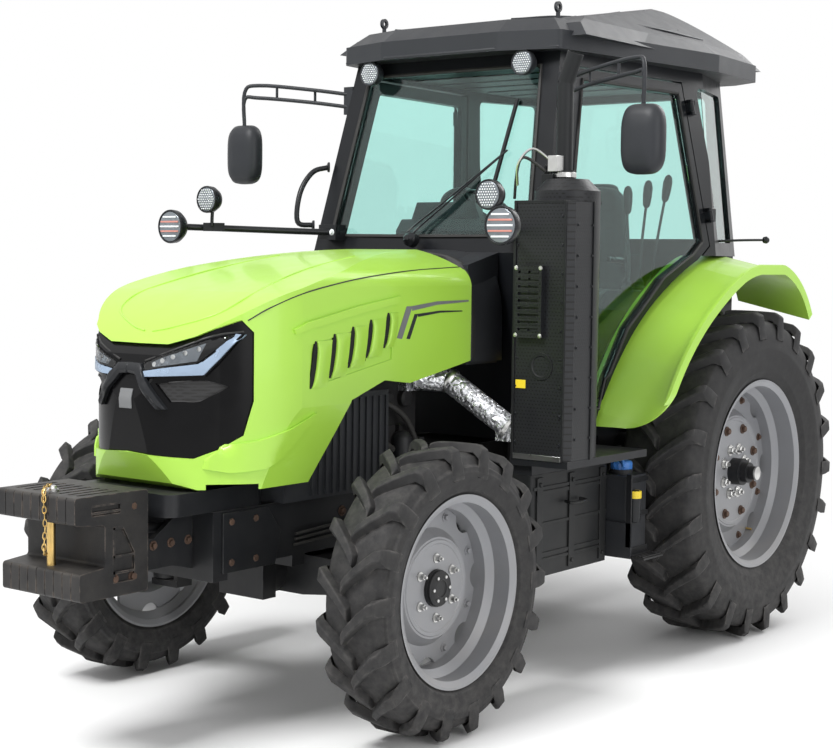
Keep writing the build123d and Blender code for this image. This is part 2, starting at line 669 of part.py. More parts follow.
# ---------------------------------------------------------------- exhaust
canister_x, canister_y = canister_centre
cap_z = 1925.0
with BuildPart() as cabinet:
    plan_profile([(canister_x, 610), (cabinet_front_x, 610), (cabinet_front_x, 834), (322, 861), (canister_x, 861)],
                 (cabinet_low, cabinet_high))
    with BuildSketch(Plane.XY.offset(cabinet_low)):
        with Locations(canister_centre):
            Circle(canister_radius)
    extrude(amount=cap_z - cabinet_low)
    with BuildSketch(Plane.XY.offset(cap_z)):
        with Locations(canister_centre):
            Circle(canister_radius)
    extrude(amount=45, taper=45)
    # louvred vent cover on the front face
    span((cabinet_front_x - 2, cabinet_front_x + 26), (628, 748), (1370, 1640))
    for k in range(9):
        z = 1395 + 27 * k
        span((cabinet_front_x + 16, cabinet_front_x + 27), (642, 734), (z, z + 11), mode=Mode.SUBTRACT)
save(cabinet, "exhaust_cabinet")

with BuildPart() as stack:
    stack_x, stack_y = 165.0, 705.0
    bend = (stack_x, stack_y, 2340)
    mouth = (stack_x, stack_y + 42, 2450)
    rod((stack_x, stack_y, cap_z + 45), bend, stack_radius)
    rod(bend, mouth, stack_radius)
    rod((stack_x, stack_y, cap_z + 45), (stack_x, stack_y, cap_z + 80), stack_radius + 10)
    rod((stack_x, stack_y, 2200), bend, stack_radius - 3, mode=Mode.SUBTRACT)
    rod(bend, (stack_x, stack_y + 46, 2460), stack_radius - 3, mode=Mode.SUBTRACT)
save(stack, "exhaust_stack")

with BuildPart() as feed_pipe:
    span((440, 540), (engine_half, 240), (1150, 1250))
    rod((490, 235, 1200), (395, 340, 1190), 46)
    rod((395, 340, 1190), (318, 568, 1018), 46)
    span((270, 350), (530, 609), (965, 1060))
save(feed_pipe, "exhaust_feed_pipe")

with BuildPart() as cabinet_bracket:
    span((-240, cabinet_front_x), (600, 861), (cabinet_low - 30, cabinet_low - 1))
    span((-240, -180), (560, 600), (841, cabinet_low - 1))
    span((-230, 330), (600, 689), (841, 879))
save(cabinet_bracket, "cabinet_bracket")

# ---------------------------------------------------------------- lamps and mirrors
with BuildPart() as lamp_arm:
    rod((170, 470, 1770), (751, 830, 1782), 13)
    rod((662, 710, 1785), (662, 710, 1850), 8)
    span((100, 190), (430, 520), (1740, 1800))
    for centre, radius, depth in (((640, 710, 1895), 55, 50), ((735, 830, 1782), 70, 65)):
        x, y, z = centre
        rod(centre, (x + depth - 14, y, z), radius)
        rod((x + depth - 15, y, z), (x + depth, y, z), radius - 8)
    rod((662, 710, 1840), (662, 710, 1885), 8)
    add(cab_block((belt_z, roof_z)), mode=Mode.SUBTRACT)
save_both(lamp_arm, "front_lamps")

with BuildPart() as mirror_arm:
    for z in (2380, 2330):
        rod((-70, 520, z), (125, 1023, z + 40), 9)
    rod((125, 1023, 2431), (125, 1023, 2239), 9)
    rod((34, 787, 2400), (34, 787, 2350), 7)
    plan_profile([(88, 945), (150, 938), (165, 1023), (150, 1108), (88, 1101)], (1990, 2250), corner=12)
    add(cab_block((belt_z, roof_z)), mode=Mode.SUBTRACT)
save_both(mirror_arm, "mirrors")

with BuildPart() as roof_lamps:
    for y in (-395, 395):
        rod((-40, y, 2450), (6, y, 2450), 48)
        rod((5, y, 2450), (20, y, 2450), 42)
save(roof_lamps, "roof_lamps")

# ---------------------------------------------------------------- hood
lip_x = hood_tip_x - 41
# Front of the hood in (y, z), from the middle out: the dark mask, the lamps, the bright strip under them and
# the ridge over the middle.
mask_line = both_sides([(0, 1003), (240, 988), (300, 1020), (352, 1065), (371, 1180), (371, 1410), (347, 1452),
                        (235, 1395), (140, 1367), (0, 1366)])
ridge_line = both_sides([(0, 1300), (55, 1300), (153, 1155), (135, 1165), (42, 1268), (0, 1268)])
lamp_line = [(61, 1302), (193, 1348), (275, 1386), (337, 1406), (254, 1305), (72, 1276)]
strip_line = [(72, 1276), (254, 1305), (337, 1406), (350, 1404), (314, 1337), (267, 1263), (72, 1255)]
duct_line = [(122, 1237), (265, 1250), (315, 1228), (246, 1176), (168, 1175)]


# The hood's outlines from the side (x, z), above (x, y) and the front (y, z). Each runs anticlockwise, and
# the numbered points are the middles of arcs.
hood_side = [(hood_rear_x, 1273), (760, 1204), (907, 1222), (1092, 1161), (1156, 1059), (1271, 884),
             (hood_tip_x - 100, 884), (hood_tip_x - 50, 905), (hood_tip_x - 12, 1000), (hood_tip_x, 1183),
             (lip_x, 1335), (1585, 1460), (1420, 1540), (950, 1646), (hood_rear_x, 1698)]
hood_plan = [(hood_rear_x, -hood_half), (1271, -hood_half), (1470, -402), (1620, -300), (1735, -168),
             (hood_tip_x, -40), (hood_tip_x, 40), (1735, 168), (1620, 300), (1470, 402), (1271, hood_half),
             (hood_rear_x, hood_half)]
shoulder = hood_half - 35
hood_front = [(60 - hood_half, 800), (hood_half - 60, 800), (hood_half, 1150), (hood_half, 1540),
              (shoulder + 26, 1590), (shoulder, 1620), (0, 1712), (-shoulder, 1620), (-shoulder - 26, 1590),
              (-hood_half, 1540), (-hood_half, 1150)]


def inset(points, depth):
    """A closed outline's points, all moved inward by a depth."""
    moved = []
    for before, here, after in zip(points[-1:] + points[:-1], points, points[1:] + points[:1]):
        back = (Vector(*here) - Vector(*before)).normalized()
        ahead = (Vector(*after) - Vector(*here)).normalized()
        along = (back + ahead).normalized()
        reach = depth / along.dot(ahead)
        moved.append((here[0] - along.Y * reach, here[1] + along.X * reach))
    return moved


def bent_outline(points, bends):
    """Closed line through the points, an arc wherever its middle is one of the bends."""
    k = 0
    while k < len(points):
        if k + 1 in bends:
            ThreePointArc(points[k], points[k + 1], points[(k + 2) % len(points)])
            k += 2
        else:
            Line(points[k], points[(k + 1) % len(points)])
            k += 1


def hood_block(depth):
    """The hood's outer form, all its faces moved in by a depth."""
    with BuildPart(mode=Mode.PRIVATE) as block:
        for points, bends, plane, amount, mode in ((hood_side, (11, 13), side_plane(600), 1200, Mode.ADD),
                                                   (hood_plan, (2, 4, 7, 9), Plane.XY.offset(700), 1200,
                                                    Mode.INTERSECT),
                                                   (hood_front, (4, 6, 8), front_plane(300), 1700,
                                                    Mode.INTERSECT)):
            with BuildSketch(plane) as outline:
                with BuildLine():
                    bent_outline(inset(points, depth), bends)
                make_face()
            extrude(outline.sketch, amount=amount, mode=mode)
    return block.part


def on_nose(points, depth, mode=Mode.ADD):
    """An outline on the nose, as a skin that lies a depth under the hood's form."""
    with BuildPart(mode=Mode.PRIVATE) as skin:
        front_profile(points, (1300, 1900))
        add(hood_block(depth), mode=Mode.INTERSECT)
        add(hood_block(hood_wall + 24), mode=Mode.SUBTRACT)
    add(skin.part, mode=mode)


lower_opening = [(360, 860), (360, 1291), (760, 1222), (907, 1241), (1106, 1178), (1172, 1072), (1285, 902),
                 (hood_tip_x - 120, 902), (hood_tip_x - 120, 860)]
louvre_panel = [(871, 1296), (1318, 1216), (1318, 1363), (871, 1446)]

with BuildPart() as hood_shell:
    add(hood_block(0))
    add(hood_block(hood_wall), mode=Mode.SUBTRACT)
    side_profile(lower_opening, (-380, 380), mode=Mode.SUBTRACT)
    span((hood_rear_x - 10, hood_rear_x + hood_wall + 1), (-500, 500), (1200, 1760), mode=Mode.SUBTRACT)
    front_profile(mask_line, (1300, 1900), mode=Mode.SUBTRACT)
    for side in (-1, 1):
        pocket = sorted((side * (hood_half - 4), side * (hood_half + 1)))
        side_profile(louvre_panel, pocket, mode=Mode.SUBTRACT)
        for k in range(5):
            x = 930 + 82 * k
            low, high = 1312 - 15 * k, 1412 - 16 * k
            side_profile([(x, low), (x + 24, low - 4), (x + 12, high - 4), (x - 12, high)],
                         sorted((side * (hood_half - 12), side * (hood_half + 1))), mode=Mode.SUBTRACT)
        # hinge barrels under the rear edge
        hinge_y = side * 200
        rod((hood_hinge[0], hinge_y - 10, hood_hinge[1]), (hood_hinge[0], hinge_y + 10, hood_hinge[1]), 12)
        span((hood_hinge[0] - 7, hood_hinge[0] + 7), (hinge_y - 10, hinge_y + 10), (hood_hinge[1], 1685))
save(hood_shell, "hood_shell")

with BuildPart() as nose:
    on_nose(mask_line, 10)
    on_nose(ridge_line, 2)
    for side in (1, -1):
        on_nose([(side * y, z) for y, z in duct_line], 10, mode=Mode.SUBTRACT)
        on_nose([(side * y, z) for y, z in duct_line], 20)
        on_nose([(side * y, z) for y, z in lamp_line], 5)
        on_nose([(side * y, z) for y, z in strip_line], 1)
save(nose, "nose_grille")

# ---------------------------------------------------------------- three-point hitch
link_pivot = (-1330.0, 540.0)
arm_pivot = (-1447.0, 1060.0)
link_eye = (-2110.0, 415.0)
with BuildPart() as lift_arms:
    rod((arm_pivot[0], -300, arm_pivot[1]), (arm_pivot[0], 300, arm_pivot[1]), 40)
    for y in ((-300, -272), (272, 300)):
        side_profile([(-1420, 1110), (-1420, 1010), (-1740, 960), (-1740, 1010)], y, corner=12)
save(lift_arms, "lift_arms")

with BuildPart() as lower_link:
    rod((link_pivot[0], 235, link_pivot[1]), (link_pivot[0], 300, link_pivot[1]), 30)
    side_profile([(-1300, 575), (-1300, 505), (-2100, 385), (-2100, 445)], (250, 285))
    with Locations(Location((link_eye[0], 267, link_eye[1]), (90, 0, 0))):
        Cylinder(42, 35)
        Cylinder(14.35, 60, mode=Mode.SUBTRACT)
save_both(lower_link, "lower_links")

with BuildPart() as lift_rod:
    rod((-1720, 325, 985), (-1720, 325, 500), 14)
    rod((-1720, 325, 860), (-1720, 325, 640), 20)
    rod((-1720, 286, 490), (-1720, 340, 490), 24)
save_both(lift_rod, "lift_rods")
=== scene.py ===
import bpy
import bmesh
import json
from math import asin, cos, pi, radians, sin, sqrt
from mathutils import Matrix, Vector
from mathutils.bvhtree import BVHTree


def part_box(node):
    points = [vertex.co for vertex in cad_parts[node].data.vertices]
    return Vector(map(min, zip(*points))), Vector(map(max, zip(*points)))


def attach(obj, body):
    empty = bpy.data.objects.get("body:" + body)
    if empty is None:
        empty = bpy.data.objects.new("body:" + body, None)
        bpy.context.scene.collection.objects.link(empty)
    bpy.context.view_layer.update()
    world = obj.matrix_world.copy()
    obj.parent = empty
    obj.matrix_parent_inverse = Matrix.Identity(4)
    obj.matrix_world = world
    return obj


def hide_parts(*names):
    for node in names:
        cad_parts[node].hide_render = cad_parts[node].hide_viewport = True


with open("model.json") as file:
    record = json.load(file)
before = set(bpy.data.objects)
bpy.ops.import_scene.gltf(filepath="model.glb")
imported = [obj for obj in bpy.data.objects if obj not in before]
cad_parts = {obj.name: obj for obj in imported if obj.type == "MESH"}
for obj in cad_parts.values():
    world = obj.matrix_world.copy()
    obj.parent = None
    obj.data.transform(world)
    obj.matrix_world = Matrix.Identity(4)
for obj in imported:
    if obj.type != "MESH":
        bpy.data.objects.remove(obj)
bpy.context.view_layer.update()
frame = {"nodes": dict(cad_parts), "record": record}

# camera: a three-quarter view from the front left, level with the hood's top
view = {"place": (5.53, 4.145, 1.6624), "yaw": -142.31, "pitch": -4.02, "roll": 0.69, "lens": 71.04}


def addCamera():
    data = bpy.data.cameras.new("camera")
    data.lens = view["lens"]
    data.sensor_width = 36
    data.clip_end = 200
    camera = bpy.data.objects.new("camera", data)
    bpy.context.scene.collection.objects.link(camera)
    yaw, pitch, roll = (radians(view[name]) for name in ("yaw", "pitch", "roll"))
    ahead = Vector((cos(pitch) * cos(yaw), cos(pitch) * sin(yaw), sin(pitch)))
    level = ahead.cross(Vector((0, 0, 1))).normalized()
    above = level.cross(ahead)
    right = level * cos(roll) + above * sin(roll)
    up = above * cos(roll) - level * sin(roll)
    turn = Matrix((right, up, -ahead)).transposed().to_4x4()
    camera.matrix_world = Matrix.Translation(view["place"]) @ turn
    bpy.context.scene.camera = camera
    print("camera placed")


addCamera()


def feed(tree, made, inputs):
    # sockets are linked, plain values are set
    for name, value in inputs.items():
        if isinstance(value, bpy.types.NodeSocket):
            tree.links.new(value, made.inputs[name])
        else:
            made.inputs[name].default_value = value
    return made


def addNode(tree, kind, inputs=None, **settings):
    made = tree.nodes.new("ShaderNode" + kind)
    for name, value in settings.items():
        setattr(made, name, value)
    return feed(tree, made, inputs or {})


def addMath(tree, operation, first, second=0.0, clamp=False):
    return addNode(tree, "Math", {0: first, 1: second}, operation=operation, use_clamp=clamp).outputs[0]


def addMix(tree, factor, first, second, how="MIX"):
    return addNode(tree, "Mix", {0: factor, 6: first, 7: second}, data_type="RGBA", blend_type=how).outputs[2]


def addRamp(tree, value, low, high):
    return addNode(tree, "MapRange", {"Value": value, "From Min": low, "From Max": high}).outputs[0]


def addNoise(tree, place, scale, detail, roughness=0.5):
    return addNode(tree, "TexNoise", {"Vector": place, "Scale": scale, "Detail": detail,
                                      "Roughness": roughness}).outputs[0]


def colour(red, green, blue):
    return (red, green, blue, 1.0)


def startGroup(name, inputs, outputs):
    tree = bpy.data.node_groups.new(name, "ShaderNodeTree")
    for label, kind, value in [("Vector", "Vector", None)] + inputs:
        socket = tree.interface.new_socket(name=label, in_out="INPUT", socket_type="NodeSocket" + kind)
        if value is not None:
            socket.default_value = value
    for label, kind in outputs:
        tree.interface.new_socket(name=label, in_out="OUTPUT", socket_type="NodeSocket" + kind)
    return tree, tree.nodes.new("NodeGroupInput").outputs, tree.nodes.new("NodeGroupOutput").inputs


# effects that several finishes share
def makeColourDrift():
    tree, start, end = startGroup("colourDrift", [("Colour", "Color", colour(0.5, 0.5, 0.5)), ("Scale", "Float", 4.0),
                                                  ("Amount", "Float", 0.1)], [("Colour", "Color")])
    cloud = addNoise(tree, start["Vector"], start["Scale"], 5.0)
    lift = addMath(tree, "MULTIPLY", addMath(tree, "SUBTRACT", cloud, 0.5), start["Amount"])
    value = addMath(tree, "ADD", addMath(tree, "MULTIPLY", lift, 4.0), 1.0)
    shifted = addNode(tree, "HueSaturation", {"Color": start["Colour"], "Value": value})
    tree.links.new(shifted.outputs[0], end["Colour"])
    return tree


def makeEdgeWear():
    tree, start, end = startGroup("edgeWear", [("Radius", "Float", 0.004), ("Amount", "Float", 0.5),
                                               ("Scale", "Float", 30.0)], [("Mask", "Float")])
    soft = addNode(tree, "Bevel", {"Radius": start["Radius"]}, samples=4)
    hard = addNode(tree, "NewGeometry")
    along = addNode(tree, "VectorMath", {0: soft.outputs[0], 1: hard.outputs["Normal"]},
                    operation="DOT_PRODUCT").outputs["Value"]
    edge = addMath(tree, "MULTIPLY", addMath(tree, "SUBTRACT", 1.0, along), 9.0, clamp=True)
    broken = addRamp(tree, addNoise(tree, start["Vector"], start["Scale"], 6.0), 0.42, 0.6)
    mask = addMath(tree, "MULTIPLY", addMath(tree, "MULTIPLY", edge, broken), start["Amount"], clamp=True)
    tree.links.new(mask, end["Mask"])
    return tree


def makeDustFall():
    # dust gathers on upward faces and toward the ground
    tree, start, end = startGroup("dustFall", [("Amount", "Float", 0.3), ("Top", "Float", 1.2),
                                               ("Scale", "Float", 7.0)], [("Mask", "Float")])
    face = addNode(tree, "SeparateXYZ", {0: addNode(tree, "NewGeometry").outputs["Normal"]})
    place = addNode(tree, "SeparateXYZ", {0: start["Vector"]})
    upward = addMath(tree, "MAXIMUM", face.outputs[2], 0.0)
    lowness = addMath(tree, "SUBTRACT", 1.0, addMath(tree, "DIVIDE", place.outputs[2], start["Top"]), clamp=True)
    patchy = addRamp(tree, addNoise(tree, start["Vector"], start["Scale"], 8.0, 0.65), 0.3, 0.75)
    fall = addMath(tree, "ADD", addMath(tree, "MULTIPLY", upward, 0.7), lowness, clamp=True)
    mask = addMath(tree, "MULTIPLY", addMath(tree, "MULTIPLY", fall, patchy), start["Amount"], clamp=True)
    tree.links.new(mask, end["Mask"])
    return tree


def makeSurfaceGrain():
    tree, start, end = startGroup("surfaceGrain", [("Scale", "Float", 300.0), ("Coarse", "Float", 0.3)],
                                  [("Height", "Float")])
    fine = addNoise(tree, start["Vector"], start["Scale"], 3.0)
    broad = addNoise(tree, start["Vector"], addMath(tree, "MULTIPLY", start["Scale"], 0.12), 4.0)
    mixed = addMath(tree, "ADD", addMath(tree, "MULTIPLY", broad, start["Coarse"]), fine)
    tree.links.new(mixed, end["Height"])
    return tree


def makeGlossDrift():
    tree, start, end = startGroup("glossDrift", [("Roughness", "Float", 0.4), ("Amount", "Float", 0.1),
                                                 ("Scale", "Float", 12.0)], [("Roughness", "Float")])
    cloud = addNoise(tree, start["Vector"], start["Scale"], 6.0)
    lift = addMath(tree, "MULTIPLY", addMath(tree, "SUBTRACT", cloud, 0.5), start["Amount"])
    total = addMath(tree, "ADD", start["Roughness"], addMath(tree, "MULTIPLY", lift, 3.0), clamp=True)
    tree.links.new(total, end["Roughness"])
    return tree


def makeHoleGrid():
    # round holes in rows that step by half a pitch
    tree, start, end = startGroup("holeGrid", [("Pitch", "Float", 0.016), ("Size", "Float", 0.3)],
                                  [("Mask", "Float")])
    place = addNode(tree, "SeparateXYZ", {0: start["Vector"]})
    across = addMath(tree, "DIVIDE", addMath(tree, "ADD", place.outputs[0], place.outputs[1]), start["Pitch"])
    rise = addMath(tree, "DIVIDE", place.outputs[2], addMath(tree, "MULTIPLY", start["Pitch"], 0.87))
    row = addMath(tree, "MULTIPLY", addMath(tree, "MODULO", addMath(tree, "FLOOR", rise), 2.0), 0.5)
    sides = []
    for value in (addMath(tree, "ADD", across, row), rise):
        centred = addMath(tree, "SUBTRACT", addMath(tree, "FRACT", value), 0.5)
        sides.append(addMath(tree, "MULTIPLY", centred, centred))
    apart = addMath(tree, "SQRT", addMath(tree, "ADD", sides[0], sides[1]))
    tree.links.new(addMath(tree, "LESS_THAN", apart, start["Size"]), end["Mask"])
    return tree


effects = {"drift": makeColourDrift(), "wear": makeEdgeWear(), "dust": makeDustFall(),
           "grain": makeSurfaceGrain(), "gloss": makeGlossDrift(), "holes": makeHoleGrid()}
print("effects built")


def addEffect(tree, effect, inputs):
    made = tree.nodes.new("ShaderNodeGroup")
    made.node_tree = effects[effect]
    return feed(tree, made, inputs).outputs[0]


# finishes: drift is (scale, amount), dust is (amount, height it reaches), grain is (scale, strength),
# wear is (tint, amount, edge radius), holes is (pitch, size)
dustColour = colour(0.33, 0.30, 0.26)
finishes = {
    "limePaint": {"base": (0.36, 0.63, 0.065), "rough": 0.36, "coat": 0.22, "drift": (2.5, 0.03),
                  "dust": (0.03, 0.8), "grain": (700, 0.02), "wear": ((0.25, 0.42, 0.05), 0.2, 0.003)},
    "tyreRubber": {"base": (0.019, 0.019, 0.020), "rough": 0.7, "specular": 0.25, "drift": (40, 0.06),
                   "dust": (0.26, 1.5), "dustScale": 30, "dustColour": colour(0.17, 0.16, 0.15),
                   "grain": (260, 0.3), "wear": ((0.10, 0.095, 0.09), 0.55, 0.008)},
    "rimSilver": {"base": (0.25, 0.255, 0.27), "rough": 0.42, "metal": 0.2, "drift": (6, 0.05),
                  "dust": (0.3, 1.0), "grain": (500, 0.05), "wear": ((0.2, 0.19, 0.19), 0.4, 0.003)},
    "chassisBlack": {"base": (0.010, 0.011, 0.013), "rough": 0.42, "specular": 0.25, "drift": (7, 0.12),
                     "dust": (0.10, 1.0), "grain": (420, 0.08), "wear": ((0.10, 0.10, 0.10), 0.5, 0.003)},
    "weightIron": {"base": (0.012, 0.012, 0.013), "rough": 0.5, "specular": 0.25, "drift": (12, 0.2),
                   "dust": (0.16, 1.4), "grain": (160, 0.5), "wear": ((0.16, 0.13, 0.11), 0.8, 0.006)},
    "castIron": {"base": (0.012, 0.012, 0.013), "rough": 0.6, "specular": 0.25, "drift": (8, 0.2),
                 "dust": (0.12, 1.3), "grain": (220, 0.4), "wear": ((0.09, 0.09, 0.09), 0.3, 0.004)},
    "charcoalPlastic": {"base": (0.024, 0.026, 0.030), "rough": 0.45, "specular": 0.25, "drift": (4, 0.06),
                        "dust": (0.06, 1.6), "grain": (620, 0.12), "wear": ((0.09, 0.09, 0.10), 0.25, 0.003)},
    "cabBlack": {"base": (0.007, 0.008, 0.010), "rough": 0.32, "specular": 0.25, "drift": (5, 0.1),
                 "dust": (0.03, 1.9), "grain": (520, 0.05), "wear": ((0.08, 0.08, 0.08), 0.3, 0.002)},
    "glossBlack": {"base": (0.003, 0.003, 0.0035), "rough": 0.2, "specular": 0.16, "drift": (6, 0.1),
                   "dust": (0.01, 1.4), "grain": (900, 0.01)},
    "meshBlack": {"base": (0.012, 0.012, 0.013), "rough": 0.5, "drift": (9, 0.1), "dust": (0.1, 1.4),
                  "grain": (400, 0.1), "holes": (0.012, 0.33)},
    "perforatedBlack": {"base": (0.012, 0.013, 0.015), "rough": 0.42, "specular": 0.3, "drift": (6, 0.12),
                        "dust": (0.04, 1.5), "grain": (420, 0.06), "holes": (0.015, 0.24),
                        "wear": ((0.10, 0.10, 0.10), 0.4, 0.002)},
    "sheetBlack": {"base": (0.009, 0.010, 0.011), "rough": 0.45, "specular": 0.25, "drift": (6, 0.12),
                   "dust": (0.05, 1.5), "grain": (420, 0.08), "wear": ((0.10, 0.10, 0.10), 0.4, 0.002)},
    "brightSteel": {"base": (0.58, 0.58, 0.57), "rough": 0.3, "metal": 1.0, "drift": (30, 0.1),
                    "dust": (0.1, 1.5), "grain": (300, 0.08)},
    "rustySteel": {"base": (0.085, 0.050, 0.034), "rough": 0.7, "metal": 0.3, "drift": (40, 0.4),
                   "grain": (260, 0.5)},
    "ribbonSilver": {"base": (0.36, 0.46, 0.60), "rough": 0.25, "metal": 0.7, "drift": (20, 0.05),
                     "grain": (300, 0.03)},
    "brass": {"base": (0.62, 0.43, 0.16), "rough": 0.35, "metal": 1.0, "drift": (25, 0.2), "grain": (300, 0.15)},
    "sealRubber": {"base": (0.010, 0.010, 0.010), "rough": 0.65, "drift": (14, 0.1), "dust": (0.15, 1.6),
                   "grain": (500, 0.15)},
    "ashPlastic": {"base": (0.15, 0.155, 0.16), "rough": 0.5, "drift": (10, 0.08), "dust": (0.1, 1.6),
                   "grain": (500, 0.1)},
    "capBlue": {"base": (0.05, 0.19, 0.55), "rough": 0.4, "drift": (16, 0.08), "grain": (500, 0.1)},
    "tagYellow": {"base": (0.80, 0.60, 0.03), "rough": 0.45, "drift": (20, 0.05), "grain": (400, 0.05)},
    "lampRed": {"base": (0.55, 0.22, 0.18), "rough": 0.2, "coat": 0.5, "drift": (20, 0.08), "grain": (200, 0.05)},
    "lampAmber": {"base": (0.75, 0.28, 0.16), "rough": 0.15, "coat": 0.6, "drift": (20, 0.08),
                  "grain": (200, 0.05)},
    # painted shade: a near-black finish that stands for the dark inside of an opening
    "holeBlack": {"base": (0.002, 0.002, 0.002), "rough": 0.9, "drift": (9, 0.1), "grain": (300, 0.1)},
    "satinBlack": {"base": (0.014, 0.015, 0.017), "rough": 0.3, "specular": 0.25, "drift": (9, 0.1),
                   "grain": (500, 0.04)},
    "lampGrey": {"base": (0.20, 0.22, 0.24), "rough": 0.25, "metal": 0.5, "drift": (30, 0.15),
                 "grain": (300, 0.1)},
    "lampWhite": {"base": (0.72, 0.74, 0.76), "rough": 0.16, "coat": 0.5, "drift": (20, 0.06),
                  "grain": (200, 0.05)},
    "mirrorFace": {"base": (0.72, 0.76, 0.78), "rough": 0.03, "metal": 1.0, "drift": (10, 0.01),
                   "grain": (50, 0.0)},
}


def startMaterial(name):
    material = bpy.data.materials.new(name)
    material.use_nodes = True
    tree = material.node_tree
    return material, tree, tree.nodes["Principled BSDF"], addNode(tree, "TexCoord").outputs["Object"]


def addLook(tree, shader, shade, gloss, height, strength, distance):
    # colour, roughness and relief of a finish
    bump = addNode(tree, "Bump", {"Height": height, "Strength": strength, "Distance": distance})
    feed(tree, shader, {"Base Color": shade, "Roughness": gloss, "Normal": bump.outputs[0]})


def makeFinish(name, spec):
    material, tree, shader, place = startMaterial(name)
    feed(tree, shader, {"Metallic": spec.get("metal", 0.0), "Coat Weight": spec.get("coat", 0.0),
                        "Coat Roughness": 0.08, "Specular IOR Level": spec.get("specular", 0.5)})
    scale, amount = spec["drift"]
    shade = addEffect(tree, "drift", {"Colour": colour(*spec["base"]), "Vector": place, "Scale": scale,
                                      "Amount": amount})
    gloss = addEffect(tree, "gloss", {"Vector": place, "Roughness": spec["rough"], "Amount": 0.06})
    if "holes" in spec:
        pitch, size = spec["holes"]
        holes = addEffect(tree, "holes", {"Vector": place, "Pitch": pitch, "Size": size})
        # the holes are painted near-black: painted shade for the openings, while the bump below presses them in
        shade = addMix(tree, holes, shade, colour(0.002, 0.002, 0.002))
    if "wear" in spec:
        tint, amount, radius = spec["wear"]
        worn = addEffect(tree, "wear", {"Vector": place, "Radius": radius, "Amount": amount})
        shade = addMix(tree, worn, shade, colour(*tint))
    if "dust" in spec:
        amount, top = spec["dust"]
        dusty = addEffect(tree, "dust", {"Vector": place, "Amount": amount, "Top": top,
                                         "Scale": spec.get("dustScale", 7.0)})
        shade = addMix(tree, dusty, shade, spec.get("dustColour", dustColour))
        gloss = addMath(tree, "MAXIMUM", gloss, addMath(tree, "MULTIPLY", dusty, 0.9))
    scale, strength = spec["grain"]
    height = addEffect(tree, "grain", {"Vector": place, "Scale": scale})
    if "holes" in spec:
        height = addMath(tree, "SUBTRACT", height, addMath(tree, "MULTIPLY", holes, 6.0))
        strength = max(strength, 0.3)
    addLook(tree, shader, shade, gloss, height, strength, 0.001)
    return material


glassKinds = {"cabGlass": {"tint": (0.66, 0.90, 0.86), "rough": 0.01},
              "lampGlass": {"tint": (0.93, 0.95, 0.97), "rough": 0.03}}


def makeGlass(name, spec):
    material, tree, shader, place = startMaterial(name)
    feed(tree, shader, {"Transmission Weight": 1.0, "IOR": 1.45})
    shade = addEffect(tree, "drift", {"Colour": colour(*spec["tint"]), "Vector": place, "Scale": 1.5,
                                      "Amount": 0.02})
    gloss = addEffect(tree, "gloss", {"Vector": place, "Roughness": spec["rough"], "Amount": 0.01, "Scale": 3.0})
    ripple = addEffect(tree, "grain", {"Vector": place, "Scale": 9.0})
    addLook(tree, shader, shade, gloss, ripple, 0.03, 0.002)
    return material


foil = {"base": (0.72, 0.73, 0.76), "metal": 0.9, "rough": 0.28, "foldScale": 38.0, "depth": 0.01}


def makeFoil(name):
    # crumpled foil: flat facets between sharp folds
    material, tree, shader, place = startMaterial(name)
    feed(tree, shader, {"Metallic": foil["metal"]})
    shade = addEffect(tree, "drift", {"Colour": colour(*foil["base"]), "Vector": place, "Scale": 22.0,
                                      "Amount": 0.12})
    gloss = addEffect(tree, "gloss", {"Vector": place, "Roughness": foil["rough"], "Amount": 0.15, "Scale": 30.0})
    folds = addNode(tree, "TexVoronoi", {"Vector": place, "Scale": foil["foldScale"]}, feature="DISTANCE_TO_EDGE")
    creases = addEffect(tree, "grain", {"Vector": place, "Scale": 90.0})
    height = addMath(tree, "ADD", folds.outputs["Distance"], addMath(tree, "MULTIPLY", creases, 0.3))
    addLook(tree, shader, shade, gloss, height, 0.9, foil["depth"])
    return material


cloth = {"base": (0.035, 0.038, 0.042), "sheen": 0.3, "rough": 0.85, "threads": 900.0, "depth": 0.0006}


def makeCloth(name):
    material, tree, shader, place = startMaterial(name)
    feed(tree, shader, {"Sheen Weight": cloth["sheen"]})
    shade = addEffect(tree, "drift", {"Colour": colour(*cloth["base"]), "Vector": place, "Scale": 20.0,
                                      "Amount": 0.15})
    spread = addNode(tree, "VectorMath", {0: place, 1: (cloth["threads"],) * 3}, operation="MULTIPLY")
    threads = addNode(tree, "TexChecker", {"Vector": spread.outputs[0], "Scale": 1.0,
                                           "Color1": colour(0.7, 0.7, 0.7), "Color2": colour(1.3, 1.3, 1.3)})
    woven = addMix(tree, 1.0, shade, threads.outputs[0], "MULTIPLY")
    gloss = addEffect(tree, "gloss", {"Vector": place, "Roughness": cloth["rough"], "Amount": 0.05})
    addLook(tree, shader, woven, gloss, threads.outputs[1], 0.4, cloth["depth"])
    return material


materials = {name: makeFinish(name, spec) for name, spec in finishes.items()}
materials.update({name: makeGlass(name, spec) for name, spec in glassKinds.items()})
materials["pipeFoil"] = makeFoil("pipeFoil")
materials["seatCloth"] = makeCloth("seatCloth")
print("finishes built:", len(materials))

# finishes of the frame's own nodes
slotFinish = {"green_paint": "limePaint", "tyre": "tyreRubber", "wheel_paint": "rimSilver",
              "chassis_black": "chassisBlack", "weight_iron": "weightIron", "engine_iron": "castIron",
              "dark_plastic": "charcoalPlastic", "cab_black": "cabBlack", "cab_glass": "cabGlass",
              "seat_fabric": "seatCloth", "exhaust_cover": "perforatedBlack", "pipe_foil": "pipeFoil",
              "lamp_lens": "charcoalPlastic", "gloss_mask": "glossBlack"}
nodeFinish = {"exhaust_stack": "sheetBlack", "battery_box": "sheetBlack"}
for part in frame["record"]["subparts"]:
    node = frame["nodes"][part["node"]]
    node.data.materials.clear()
    node.data.materials.append(materials[nodeFinish.get(part["node"], slotFinish[part["material_slot"]])])
print("frame dressed")


